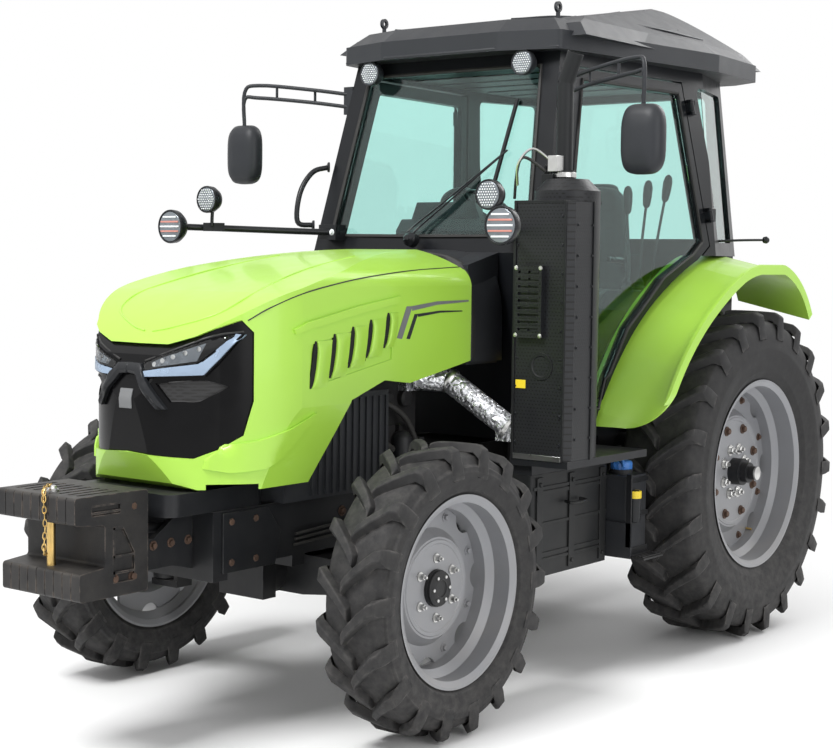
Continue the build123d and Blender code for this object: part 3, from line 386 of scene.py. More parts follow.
def meshPiece(bm, name, finish, body, bevel=0.0, angle=35.0):
    bmesh.ops.recalc_face_normals(bm, faces=bm.faces)
    mesh = bpy.data.meshes.new(name)
    bm.to_mesh(mesh)
    bm.free()
    piece = bpy.data.objects.new(name, mesh)
    bpy.context.scene.collection.objects.link(piece)
    for item in [finish] if isinstance(finish, str) else finish:
        mesh.materials.append(materials[item])
    mesh.polygons.foreach_set("use_smooth", [True] * len(mesh.polygons))
    mesh.set_sharp_from_angle(angle=radians(angle))
    if bevel:
        rounding = piece.modifiers.new("rounding", "BEVEL")
        rounding.width = bevel
        rounding.segments = 2
        rounding.limit_method = "ANGLE"
        rounding.angle_limit = radians(32)
    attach(piece, body)
    return piece


def addBlock(bm, low, high, finish=0, side=1):
    ys = sorted((side * low[1], side * high[1]))
    corners = [bm.verts.new((x, y, z)) for x in (low[0], high[0]) for y in ys for z in (low[2], high[2])]
    for a, b, c, d in ((0, 1, 3, 2), (4, 6, 7, 5), (0, 4, 5, 1), (2, 3, 7, 6), (0, 2, 6, 4), (1, 5, 7, 3)):
        bm.faces.new([corners[a], corners[b], corners[c], corners[d]]).material_index = finish


def addRings(bm, rings, close=True, capStart=True, capEnd=True, finish=0):
    rows = [[bm.verts.new(point) for point in ring] for ring in rings]
    count = len(rows[0])
    for first, second in zip(rows, rows[1:]):
        for k in range(count if close else count - 1):
            n = (k + 1) % count
            bm.faces.new([first[k], first[n], second[n], second[k]]).material_index = finish
    if capStart:
        bm.faces.new(rows[0][::-1]).material_index = finish
    if capEnd:
        bm.faces.new(rows[-1]).material_index = finish


def addTurned(bm, centre, way, profile, count=32, finish=0, capStart=True, capEnd=True):
    # a turned form: (distance along the way, radius) for each ring
    way = Vector(way).normalized()
    side = way.orthogonal().normalized()
    lift = way.cross(side)
    rings = []
    for along, radius in profile:
        turns = [2 * pi * k / count for k in range(count)]
        rings.append([Vector(centre) + way * along + (side * cos(a) + lift * sin(a)) * radius for a in turns])
    addRings(bm, rings, True, capStart, capEnd, finish)


def addBolt(bm, place, way, radius, height, finish=0, washer=True):
    if washer:
        addTurned(bm, place, way, [(0, radius * 1.7), (height * 0.22, radius * 1.65)], 20, finish)
    addTurned(bm, place, way, [(height * 0.2, radius * 1.1), (height * 0.85, radius * 1.1),
                               (height, radius * 0.92)], 6, finish)


def smoothPath(points, steps=6):
    # a curve through the points, cut in short straight steps
    points = [Vector(p) for p in points]
    ends = [points[0] * 2 - points[1]] + points + [points[-1] * 2 - points[-2]]
    path = []
    for k in range(1, len(ends) - 2):
        a, b, c, d = ends[k - 1:k + 3]
        for t in (s / steps for s in range(steps)):
            path.append(0.5 * ((2 * b) + (c - a) * t + (2 * a - 5 * b + 4 * c - d) * t * t
                               + (3 * b - a - 3 * c + d) * t ** 3))
    return path + [points[-1]]


def addTube(bm, points, radius, count=14, finish=0, steps=6, flat=1.0):
    path = smoothPath(points, steps) if steps else [Vector(p) for p in points]
    rings = []
    side = None
    for k, point in enumerate(path):
        way = (path[min(k + 1, len(path) - 1)] - path[max(k - 1, 0)]).normalized()
        side = side or way.orthogonal().normalized()
        side = (side - way * side.dot(way)).normalized()
        lift = way.cross(side) * flat
        rings.append([point + (side * cos(2 * pi * j / count) + lift * sin(2 * pi * j / count)) * radius
                      for j in range(count)])
    addRings(bm, rings, finish=finish)


def addPlate(bm, outline, amount, finish=0):
    # a closed outline of points, made solid by the vector amount
    addRings(bm, [[Vector(p) for p in outline], [Vector(p) + Vector(amount) for p in outline]], finish=finish)


def mirrored(side, points):
    return [Vector((x, side * y, z)) for x, y, z in points]


def addParts(bm, parts, side=1):
    # named parts of the left side, or of the right one when side is -1:
    # block (low, high), tube (points, radius, count, steps), turned (centre, way, profile, count),
    # bolts (places, way, radius, height)
    for kind, finish, first, *rest in parts.values():
        if kind == "block":
            addBlock(bm, first, rest[0], finish, side)
        elif kind == "tube":
            radius, count, steps = rest
            addTube(bm, mirrored(side, first), radius, count, finish, steps)
        elif kind == "turned":
            way, profile, count = rest
            addTurned(bm, *mirrored(side, (first, way)), profile, count, finish)
        elif kind == "bolts":
            way, radius, height = rest
            for place in first:
                addBolt(bm, *mirrored(side, (place, way)), radius, height, finish)


def bent(value, power):
    # a power that keeps its sign, to turn a circle toward a box
    return abs(value) ** power * (1 if value > 0 else -1)


def roundedRing(wide, tall, power, count):
    # points (across, up) round a box with soft corners
    turns = [2 * pi * k / count for k in range(count)]
    return [(wide * bent(cos(a), power), tall * bent(sin(a), power)) for a in turns]


# tyres: a round carcass with the frame's lugs, rounded and curved
tyreKinds = {
    "front": {"lugs": 18, "lean": 9.0, "height": 0.034, "wall": 0.046, "bead": 0.318},
    "rear": {"lugs": 22, "lean": 7.6, "height": 0.042, "wall": 0.046, "bead": 0.398},
}
tyreSegments = 120


def addLug(bm, centre, radius, half, side, turn, spec):
    # sections from the middle of the tread to the shoulder, then two that drop down the sidewall
    lean = radians(spec["lean"])
    tip = radius / cos(lean - pi / 2 / spec["lugs"])
    reach = asin((tip * sin(lean) - spec["wall"] / 2) / tip)
    inner, crown, outer = -0.016, half - 0.030, half - 0.003
    drops = [{"y": outer - 0.004, "swing": 0.016, "top": 0.014, "low": 0.02, "wide": 1.05},
             {"y": half - 0.001, "swing": 0.022, "top": spec["height"] * 1.9, "low": 0.085, "wide": 1.1}]
    rings = []
    for t, drop in [(t, None) for t in (0.0, 0.12, 0.3, 0.5, 0.7, 0.88, 1.0)] + [(1.0, drop) for drop in drops]:
        y = inner + (crown - inner) * t
        swing = reach * (1 - 2 * t ** 0.82)
        top, low = tip * cos(lean * 0.55) - 0.0035, radius - spec["height"] - 0.004
        wide = spec["wall"] * (0.74 + 0.16 * t)
        foot = wide + 0.024
        if t == 0.0:
            top -= 0.004
        if drop:
            y = drop["y"]
            swing -= drop["swing"]
            top -= drop["top"]
            low -= drop["low"]
            wide *= drop["wide"]
        ring = []
        for offset, r in ((-foot / 2, low), (-wide / 2, top), (wide / 2, top), (foot / 2, low)):
            a = turn + swing + offset / r
            ring.append((centre.x + r * sin(a), centre.y + side * y, centre.z + r * cos(a)))
        rings.append(ring)
    addRings(bm, rings)


def makeTyre(kind, sideName):
    spec = tyreKinds[kind]
    node = f"{kind}_tyre_{sideName}"
    low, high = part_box(node)
    centre = (low + high) / 2
    radius, half, bead = (high.z - low.z) / 2, (high.y - low.y) / 2, spec["bead"]
    seat, base, tall = half * 0.82 - 0.013, radius - spec["height"], radius - bead
    bulge = half - seat
    # half section from the bead, over the sidewall's rings, to the middle of the tread
    profile = [(seat - 0.03, bead + 0.001), (seat, bead + 0.001), (seat + 0.004, bead + 0.012),
               (seat + 0.006, bead + 0.024), (seat + 0.55 * bulge, bead + 0.17 * tall),
               (seat + 0.6 * bulge, bead + 0.19 * tall), (seat + 0.58 * bulge, bead + 0.21 * tall),
               (half - 0.004, bead + 0.36 * tall), (half - 0.001, bead + 0.46 * tall), (half, bead + 0.49 * tall),
               (half - 0.003, bead + 0.52 * tall), (half - 0.004, bead + 0.6 * tall), (half - 0.012, base - 0.045),
               (half - 0.026, base - 0.016), (half - 0.05, base - 0.004), (0.0, base + 0.001)]
    bm = bmesh.new()
    turns = [2 * pi * k / tyreSegments for k in range(tyreSegments)]
    rings = [[(centre.x + r * sin(a), centre.y + y, centre.z + r * cos(a)) for a in turns]
             for y, r in [(-y, r) for y, r in profile] + profile[-2::-1]]
    addRings(bm, rings, capStart=False, capEnd=False)
    pitch = 2 * pi / spec["lugs"]
    for side in (-1, 1):
        for k in range(spec["lugs"]):
            addLug(bm, centre, radius, half, side, pitch * (k + 0.5 + side / 4), spec)
    piece = meshPiece(bm, f"{kind}Tyre_{sideName}", "tyreRubber", f"{kind}_wheel_{sideName}",
                      bevel=0.005, angle=40)
    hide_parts(node)


for kind in tyreKinds:
    for sideName in ("left", "right"):
        makeTyre(kind, sideName)
print("tyres made")


def surfaceOf(*nodes):
    # the frame's own surface, to lay trim on
    bm = bmesh.new()
    for name in nodes:
        bm.from_mesh(frame["nodes"][name].data)
    tree = BVHTree.FromBMesh(bm)
    bm.free()
    return tree


def castOn(tree, origin, way, lift=0.0):
    # the first point that the way meets, lifted back toward the origin
    way = Vector(way).normalized()
    place = tree.ray_cast(Vector(origin), way)[0]
    return None if place is None else place - way * lift


def layBand(bm, upper, lower, place, columns=18, rows=3, thick=0.004, finish=0):
    # a band between two lines of flat points, laid on a surface by place(a, b, lift)
    def along(line, t):
        spot = t * (len(line) - 1)
        k = min(int(spot), len(line) - 2)
        a, b, f = line[k], line[k + 1], spot - k
        return (a[0] + (b[0] - a[0]) * f, a[1] + (b[1] - a[1]) * f)
    grids = []
    for lift in (0.0, thick):
        grid = []
        for c in range(columns + 1):
            top, low = along(upper, c / columns), along(lower, c / columns)
            grid.append([bm.verts.new(place(top[0] + (low[0] - top[0]) * r / rows,
                                            top[1] + (low[1] - top[1]) * r / rows, lift)) for r in range(rows + 1)])
        grids.append(grid)
    under, over = grids
    for c in range(columns):
        for r in range(rows):
            bm.faces.new([over[c][r], over[c + 1][r], over[c + 1][r + 1], over[c][r + 1]]).material_index = finish
    edge = [(c, 0) for c in range(columns + 1)] + [(columns, r) for r in range(1, rows + 1)]
    edge += [(c, rows) for c in range(columns - 1, -1, -1)] + [(0, r) for r in range(rows - 1, 0, -1)]
    for (a, b), (c, d) in zip(edge, edge[1:] + edge[:1]):
        bm.faces.new([under[a][b], under[c][d], over[c][d], over[a][b]]).material_index = finish


def circleSpots(count, radius, shift=0.0):
    # (across, up) of each spot on a circle
    return [(radius * cos(a), radius * sin(a)) for a in (2 * pi * (k + shift) / count for k in range(count))]


# nose: lamps, light strips and the ridge between them, as upper and lower lines of (y, z)
nose = {"strip": ([(0.072, 1.276), (0.254, 1.305), (0.337, 1.406)], [(0.072, 1.258), (0.266, 1.268), (0.351, 1.402)]),
        "lens": ([(0.066, 1.300), (0.193, 1.348), (0.275, 1.386), (0.330, 1.404)],
                 [(0.074, 1.279), (0.17, 1.294), (0.25, 1.307), (0.330, 1.400)]),
        "reflector": ([(0.10, 1.305), (0.193, 1.340), (0.268, 1.374)], [(0.11, 1.290), (0.19, 1.303), (0.246, 1.314)]),
        "duct": ([(0.125, 1.235), (0.2, 1.245), (0.262, 1.247), (0.31, 1.227)],
                 [(0.168, 1.177), (0.2, 1.178), (0.244, 1.179), (0.30, 1.218)]),
        "ridge": ([(0.0, 1.303), (0.055, 1.301), (0.164, 1.152)], [(0.0, 1.268), (0.036, 1.264), (0.134, 1.150)]),
        "plate": ([(-0.03, 1.215), (0.03, 1.215)], [(-0.03, 1.148), (0.03, 1.148)]),
        "brow": [(0.062, 1.309), (0.193, 1.357), (0.28, 1.398), (0.345, 1.412)],
        "emitters": 5, "firstEmitter": (0.115, 1.300), "emitterStep": (0.034, 0.0135)}
skin = surfaceOf("nose_grille", "hood_shell")


def onNose(side):
    def place(y, z, lift):
        return castOn(skin, (3.0, side * y, z), (-1, 0, 0), lift) or Vector((1.7, side * y, z))
    return place


def makeNose():
    lit, clear, dark, ridge, plate = (bmesh.new() for k in range(5))
    (y0, z0), (dy, dz) = nose["firstEmitter"], nose["emitterStep"]
    for side in (-1, 1):
        place = onNose(side)
        layBand(lit, *nose["strip"], place, 24, 2, 0.005, 0)
        layBand(lit, *nose["reflector"], place, 14, 3, 0.0015, 1)
        layBand(clear, *nose["lens"], place, 20, 3, 0.006)
        for k in range(nose["emitters"]):
            addTurned(lit, place(y0 + dy * k, z0 + dz * k, 0.0012), (1, side * 0.35, 0.1),
                      [(0, 0.008), (0.0025, 0.008), (0.003, 0.004)], 14, 2)
        layBand(dark, *nose["duct"], place, 10, 3, 0.002)
        # frame round the duct and the brow over the lamp
        for line, lift, radius in [(line, 0.002, 0.0035) for line in nose["duct"]] + [(nose["brow"], 0.001, 0.004)]:
            addTube(dark, [place(y, z, lift) for y, z in line], radius, 8, steps=3)
        layBand(ridge, *nose["ridge"], place, 20, 3, 0.016)
    layBand(plate, *nose["plate"], onNose(1), 8, 6, 0.004)
    meshPiece(ridge, "noseRidge", "satinBlack", "hood", bevel=0.003)
    meshPiece(lit, "noseLights", ["ribbonSilver", "lampGrey", "brightSteel"], "hood")
    meshPiece(clear, "noseLenses", "lampGlass", "hood")
    meshPiece(dark, "noseTrim", "meshBlack", "hood")
    meshPiece(plate, "noseBlankPlate", "ashPlastic", "hood", bevel=0.0015)


makeNose()

# hood: shut lines, gills, stripes and the seal at the rear. Bands are upper and lower lines of (x, z), the seam is
# (x, z less y), the oval (x, y), a gill's front and rear (x, z, height), an arch (x, outward, foot, top)
hood = {"half": 0.430, "gills": 5, "front": (1.302, 1.294, 0.162), "rear": (0.905, 1.402, 0.127), "slot": 0.024,
        "lean": 0.026, "bulge": 0.013, "lastScoop": 0.05,
        "seam": [(1.55, 1.09), (1.48, 1.095), (1.35, 1.11), (1.14, 1.15), (0.97, 1.18), (0.71, 1.22), (0.385, 1.26)],
        "oval": [(1.66, 0.02), (1.64, 0.10), (1.575, 0.235), (1.47, 0.272), (1.30, 0.245), (1.10, 0.215), (0.80, 0.19)],
        "brow": ([(1.40, 1.418), (1.335, 1.442), (1.07, 1.492), (0.83, 1.525)],
                 [(1.392, 1.402), (1.33, 1.416), (1.07, 1.464), (0.84, 1.499)]),
        "chin": ([(1.66, 0.988), (1.602, 1.036), (1.52, 1.048), (1.40, 1.084), (1.285, 1.128)],
                 [(1.665, 0.955), (1.60, 0.940), (1.50, 0.952), (1.43, 0.985), (1.293, 1.105)]),
        "stripes": [([(0.757, 1.487), (0.60, 1.503), (0.40, 1.506)], [(0.752, 1.470), (0.60, 1.490), (0.40, 1.499)],
                     14, 1, 0),
                    ([(0.786, 1.487), (0.752, 1.487)], [(0.842, 1.372), (0.812, 1.368)], 3, 8, 0),
                    ([(0.722, 1.458), (0.58, 1.468), (0.44, 1.466)], [(0.715, 1.447), (0.58, 1.460), (0.44, 1.462)],
                     12, 1, 1),
                    ([(0.738, 1.458), (0.718, 1.458)], [(0.785, 1.368), (0.765, 1.366)], 2, 8, 1)],
        "collar": [(0.379, -0.020, 1.28, 1.67), (0.377, -0.004, 1.28, 1.686), (0.372, 0.001, 1.28, 1.691),
                   (0.352, 0.001, 1.28, 1.691), (0.345, -0.003, 1.28, 1.687), (0.338, -0.018, 1.28, 1.672),
                   (0.342, -0.030, 1.28, 1.66)],
        "cover": [(0.352, -0.028, 1.262, 1.668), (0.30, -0.024, 1.262, 1.672), (0.22, -0.02, 1.262, 1.685),
                  (0.15, -0.015, 1.262, 1.700), (0.138, -0.02, 1.262, 1.690)]}


def onSide(side):
    def place(x, z, lift):
        return castOn(skin, (x, side, z), (0, -side, 0), lift) or Vector((x, side * hood["half"], z))
    return place


def gillLine(k):
    # middle line of a gill, from its top to its foot, as (x, z, how full)
    t = k / (hood["gills"] - 1)
    x, z, tall = (hood["front"][j] + (hood["rear"][j] - hood["front"][j]) * t for j in range(3))
    return [(x + hood["lean"] * (f - 0.5) - 0.006 * sin(pi * f), z + tall * (0.5 - f), min(1.0, 5 * f, 5 * (1 - f)))
            for f in (s / 12 for s in range(13))]


def makeGills(mouth, paint, side):
    last, slot = hood["gills"] - 1, hood["slot"]
    pitch = (hood["front"][0] - hood["rear"][0]) / last
    for k in range(hood["gills"]):
        # the painted scoop behind each mouth rises from the skin and turns in toward the next one
        reach = hood["lastScoop"] if k == last else pitch - slot * 0.9
        mouths, scoops = [], []
        for x, z, full in gillLine(k):
            w = slot * (0.3 + 0.7 * full) / 2
            out = hood["bulge"] * (0.25 + 0.75 * full)
            # each mouth is a near-black slab: painted shade for the vent opening
            mouths.append([Vector((x + dx, side * (hood["half"] + dy), z)) for dx, dy in
                           ((-w, -0.006), (-w, 0.0022), (w, 0.0022), (w, -0.006))])
            profile = [(0.0, -0.006), (0.0, out * 0.55), (0.03, out * 0.85), (0.12, out), (0.32, out * 0.93),
                       (0.58, out * 0.66), (0.85, out * 0.3), (1.0, 0.0012), (1.0, -0.006)]
            scoops.append([Vector((x - slot * 0.42 - reach * u, side * (hood["half"] + v), z + 0.03 * reach * u))
                           for u, v in profile])
        addRings(mouth, mouths)
        addRings(paint, scoops)


def arch(x, out, foot, top):
    ring = []
    for a in (pi * k / 32 for k in range(33)):
        z = foot + (top - foot) * sin(a) ** 0.42
        # the crown stands back, clear of the hood's rear edge as it tilts
        back = min(1.0, max(0.0, (z - 1.59) / 0.06)) * min(0.036, max(0.0, x - 0.31))
        ring.append(Vector((x - back, (0.428 + out) * bent(cos(a), 0.5), z)))
    return ring


def makeHoodTrim():
    seam, mouth, paint, stripe, collar, cover = (bmesh.new() for k in range(6))
    for side in (-1, 1):
        place = onSide(side)
        line = [castOn(skin, (x, side, 1 + rise), (0, -side, -1)) for x, rise in hood["seam"]]
        addTube(seam, [spot for spot in line if spot], 0.0024, 8, steps=6)
        line = [castOn(skin, (x, side * y, 3.0), (0, 0, -1)) for x, y in hood["oval"]]
        addTube(paint, line, 0.0042, 8, steps=6)
        makeGills(mouth, paint, side)
        layBand(paint, *hood["brow"], place, 24, 4, 0.010)
        layBand(paint, *hood["chin"], place, 20, 4, 0.011)
        for upper, lower, columns, rows, finish in hood["stripes"]:
            layBand(stripe, upper, lower, place, columns, rows, 0.0014, finish)
    meshPiece(seam, "hoodShutLines", "sealRubber", "hood")
    # the gill mouths carry painted shade for the vent openings
    meshPiece(mouth, "hoodGillMouths", "holeBlack", "hood")
    meshPiece(paint, "hoodScoops", "limePaint", "hood", angle=50)
    meshPiece(stripe, "hoodStripes", ["ashPlastic", "charcoalPlastic"], "hood")
    # rubber collar behind the hood and the cowl's rounded cover
    for bm, key, name, finish in ((collar, "collar", "cowlSeal", "sealRubber"),
                                  (cover, "cover", "cowlCover", "charcoalPlastic")):
        addRings(bm, [arch(*section) for section in hood[key]], close=False, capStart=False, capEnd=False)
        meshPiece(bm, name, finish, "chassis")


makeHoodTrim()
print("hood trimmed")

# wheel nuts, studs and hub: hub is (y, profile, count, finish),
# hubBolts is (count, circle, shift, y, radius, height, finish, washer)
fittings = {
    "front": {"nuts": 6, "circle": 0.105, "nut": 0.010, "disc": 0.742, "ring": 0.178, "studs": 8, "studCircle": 0.252,
              "studFinish": 2, "hub": (0.754, [(0, 0.062), (0.010, 0.062), (0.014, 0.054), (0.016, 0.03),
                                               (0.012, 0.028), (0.012, 0.0005)], 40, 3),
              "hubBolts": (6, 0.045, 0.0, 0.766, 0.006, 0.008, 0, False)},
    "rear": {"nuts": 8, "circle": 0.105, "nut": 0.015, "disc": 0.790, "ring": 0.25, "studs": 8, "studCircle": 0.333,
             "studFinish": 1, "hub": (0.905, [(-0.004, 0.031), (0.003, 0.030), (0.005, 0.022), (0.006, 0.0005)], 32, 0),
             "hubBolts": (8, 0.2, 0.5, 0.7905, 0.013, 0.018, 1, True)}}


def makeWheelFittings(kind, sideName):
    spec = fittings[kind]
    side = 1 if sideName == "left" else -1
    way = Vector((0, side, 0))
    low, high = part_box(f"{kind}_tyre_{sideName}")
    x, z = (low.x + high.x) / 2, (low.z + high.z) / 2
    bm = bmesh.new()
    for dx, dz in circleSpots(spec["nuts"], spec["circle"], 0.5):
        spot = Vector((x + dx, side * spec["disc"], z + dz))
        addBolt(bm, spot, way, spec["nut"], 0.022)
        addTurned(bm, spot + way * 0.02, way, [(0, spec["nut"] * 0.6), (0.012, spec["nut"] * 0.5)], 12)
    dished = spec["disc"] - 0.034
    for dx, dz in circleSpots(spec["studs"], spec["studCircle"], 0.5):
        addBolt(bm, (x + dx, side * dished, z + dz), way, 0.010, 0.014, spec["studFinish"])
    # raised ring pressed in the disc
    ring = spec["ring"]
    addTurned(bm, (x, side * (spec["disc"] - 0.001), z), way, [(0, ring - 0.006), (0.004, ring - 0.010),
              (0.004, ring - 0.022), (0, ring - 0.026)], 72, 2, False, False)
    y, profile, count, finish = spec["hub"]
    addTurned(bm, (x, side * y, z), way, profile, count, finish)
    count, circle, shift, y, radius, height, finish, washer = spec["hubBolts"]
    for dx, dz in circleSpots(count, circle, shift):
        addBolt(bm, (x + dx, side * y, z + dz), way, radius, height, finish, washer)
    # valve
    addTube(bm, [(x - 0.20, side * (dished + 0.004), z - spec["studCircle"] * 0.86),
                 (x - 0.205, side * (dished + 0.03), z - spec["studCircle"] * 0.87)], 0.005, 8, 4, steps=0)
    meshPiece(bm, f"{kind}WheelFittings_{sideName}",
              ["brightSteel", "rustySteel", "rimSilver", "chassisBlack", "brass"],
              f"{kind}_wheel_{sideName}")


for kind in fittings:
    for sideName in ("left", "right"):
        makeWheelFittings(kind, sideName)
print("wheels fitted")

# lamps on the arms and the roof
armLamps = {"lamps": [{"centre": (0.655, 0.710, 1.895), "radius": 0.056, "grid": True},
                      {"centre": (0.745, 0.830, 1.782), "radius": 0.070, "grid": False}],
            "plate": [(0.60, 0.680, 1.800), (0.66, 0.745, 1.800), (0.66, 0.745, 1.765), (0.60, 0.680, 1.765)],
            "mounts": {"arm": ("tube", 0, [(0.165, 0.465, 1.770), (0.30, 0.55, 1.772), (0.55, 0.71, 1.778),
                                           (0.715, 0.82, 1.782)], 0.014, 12, 4),
                       "post": ("tube", 0, [(0.64, 0.715, 1.785), (0.64, 0.712, 1.84), (0.635, 0.71, 1.87)],
                                0.0075, 10, 3),
                       "foot": ("block", 0, (0.115, 0.43, 1.738), (0.185, 0.525, 1.802)),
                       "bolts": ("bolts", 2, [(0.185, 0.45, 1.770), (0.185, 0.505, 1.770)], (1, 0, 0), 0.008, 0.01)}}
roofLamp = {"centre": (-0.012, 0.395, 2.452), "radius": 0.052,
            "stem": {"stem": ("tube", 0, [(-0.05, 0.395, 2.452), (-0.05, 0.395, 2.505)], 0.012, 10, 0)}}


def addLamp(bm, centre, radius, grid):
    # housing, bezel, face and emitters: finishes 0 housing, 1 face, 2 bright
    x, y, z = centre
    addTurned(bm, (x - 0.035, y, z), (1, 0, 0), [(0, radius * 0.4), (0.006, radius * 0.75), (0.03, radius * 0.97),
              (0.052, radius), (0.06, radius * 0.98), (0.06, radius * 0.9), (0.055, radius * 0.88)], 40, 0, True, False)
    addTurned(bm, (x + 0.019, y, z), (1, 0, 0), [(0, radius * 0.9), (0.004, radius * 0.86), (0.007, radius * 0.5),
              (0.008, radius * 0.01)], 40, 1, False, True)
    if grid:
        for row, column in ((row, column) for row in range(-4, 5) for column in range(-4, 5)):
            dy, dz = column * radius * 0.19 + (row % 2) * radius * 0.095, row * radius * 0.17
            if sqrt(dy * dy + dz * dz) < radius * 0.78:
                addTurned(bm, (x + 0.024, y + dy, z + dz), (1, 0, 0), [(0, radius * 0.062), (0.004, radius * 0.055)],
                          6, 2)
    else:
        for k in range(5):
            dz, thick = (k - 2) * radius * 0.28, radius * 0.05
            half = sqrt(max(0.0, (radius * 0.78) ** 2 - dz * dz))
            addBlock(bm, (x + 0.0235, y - half, z + dz - thick), (x + 0.028, y + half, z + dz + thick), 2 + k % 2)


def makeArmLamps():
    arms, roof = bmesh.new(), bmesh.new()
    for side in (-1, 1):
        for lamp in armLamps["lamps"]:
            addLamp(arms, mirrored(side, [lamp["centre"]])[0], lamp["radius"], lamp["grid"])
        addParts(arms, armLamps["mounts"], side)
        addPlate(arms, mirrored(side, armLamps["plate"]), (0.004, -side * 0.004, 0))
        addLamp(roof, mirrored(side, [roofLamp["centre"]])[0], roofLamp["radius"], True)
        addParts(roof, roofLamp["stem"], side)
    piece = meshPiece(arms, "armLamps", ["satinBlack", "lampGrey", "lampWhite", "lampRed"], "chassis",
                      bevel=0.001)
    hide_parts("front_lamps")
    piece = meshPiece(roof, "roofLamps", ["charcoalPlastic", "lampGrey", "lampWhite"], "chassis",
                      bevel=0.001)
    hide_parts("roof_lamps")


makeArmLamps()

# mirrors: double tube, stem and a rounded head, whose sections are (forward, scale)
mirror = {"root": (-0.065, 0.545, 2.375), "elbow": (0.125, 1.023, 2.425), "stem": 2.235, "drop": 0.055,
          "head": (0.128, 1.023, 2.118), "half": (0.088, 0.132), "glass": 0.84,
          "sections": [(-0.034, 0.90), (-0.030, 0.97), (-0.018, 1.0), (0.008, 0.985), (0.026, 0.88), (0.037, 0.66),
                       (0.041, 0.3)]}


def makeMirrors():
    bm = bmesh.new()
    (x0, y0, z0), (x1, y1, z1), (cx, cy, cz), (wide, tall) = (mirror[k] for k in ("root", "elbow", "head", "half"))

    def outline(side, dx, scale):
        return [Vector((cx + dx, side * cy + u, cz + v)) for u, v in roundedRing(wide * scale, tall * scale, 0.55, 40)]
    for side in (-1, 1):
        for drop in (0.0, mirror["drop"]):
            addTube(bm, mirrored(side, [(x0, y0, z0 - drop), (0.02, 0.72, z0 + 0.025 - drop),
                                        (x1 - 0.03, y1 - 0.06, z1 - drop), (x1, y1, z1 - 0.03 - drop * 0.6),
                                        (x1, y1, mirror["stem"])]), 0.0085, 10, steps=5)
        for t in (0.35, 0.7):
            x, y = x0 + (x1 - x0) * t, side * (y0 + (y1 - y0) * t)
            addTube(bm, [(x, y, 2.40 + 0.02 * t), (x, y, 2.345 + 0.02 * t)], 0.006, 8, steps=0)
        addBlock(bm, (-0.10, 0.535, 2.29), (-0.045, 0.585, 2.41), 0, side)
        addRings(bm, [outline(side, dx, scale) for dx, scale in mirror["sections"]])
        addPlate(bm, outline(side, -0.0355, mirror["glass"]), (0.002, 0, 0), 1)
    piece = meshPiece(bm, "mirrors_dressed", ["charcoalPlastic", "mirrorFace"], "chassis", angle=45)
    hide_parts("mirrors")


makeMirrors()
print("lamps and mirrors made")

# exhaust cabinet: bolts, edge strips, vent slots, cap and wiring
cabinet = {"front": 0.350, "outer": 0.861, "low": 0.910,
           "vents": {"rows": 10, "first": 1.392, "pitch": 0.0245, "columns": (0.655, 0.700)}}
cabinetParts = {
    "cornerStrip": ("block", 1, (0.348, 0.606, 0.905), (0.356, 0.616, 1.884)),
    "frontStrip": ("block", 1, (0.320, 0.829, 0.905), (0.353, 0.838, 1.884)),
    "rearStrip": ("block", 1, (0.190, 0.858, 0.905), (0.200, 0.866, 1.884)),
    "brightFoot": ("block", 0, (0.349, 0.612, 0.905), (0.354, 0.83, 0.925)),
    "topStrip": ("block", 1, (0.100, 0.605, 1.875), (0.352, 0.835, 1.886)),
    "ventBolts": ("bolts", 0, [(0.376, y, z) for z in (1.378, 1.632) for y in (0.633, 0.743)], (1, 0, 0),
                  0.005, 0.006),
    "port": ("turned", 1, (0.348, 0.735, 1.262), (1, 0, 0),
             [(0, 0.052), (0.006, 0.052), (0.006, 0.040), (0.001, 0.036), (0.001, 0.001)], 36),
    "blankTag": ("block", 3, (0.3505, 0.622, 1.175), (0.3525, 0.667, 1.207)),
    "capClamp": ("turned", 0, (0.165, 0.705, 1.975), (0, 0, 1), [(0, 0.040), (0.004, 0.047), (0.022, 0.047),
                                                                 (0.026, 0.040)], 36),
    "sensor": ("block", 0, (0.19, 0.675, 2.0), (0.235, 0.72, 2.06)),
    "socket": ("block", 1, (0.20, 0.64, 1.955), (0.225, 0.69, 1.99))}
capWires = {"sheath": ("tube", 0, [(0.225, 0.66, 2.0), (0.26, 0.60, 2.05), (0.24, 0.55, 2.045), (0.22, 0.52, 1.98),
                                   (0.20, 0.50, 1.90)], 0.006, 8, 6),
            "braid": ("tube", 1, [(0.21, 0.69, 2.03), (0.27, 0.63, 2.085), (0.28, 0.57, 2.03), (0.24, 0.54, 1.95)],
                      0.005, 8, 6)}
pipeClamps = {"lower": ("turned", 0, (0.318, 0.560, 1.022), (-0.25, 0.77, -0.58),
                        [(0, 0.052), (0.004, 0.056), (0.016, 0.056), (0.02, 0.052)], 36),
              "upper": ("turned", 0, (0.395, 0.345, 1.186), (-0.25, 0.77, -0.58),
                        [(-0.02, 0.047), (-0.012, 0.051), (0.004, 0.051), (0.01, 0.047)], 36)}


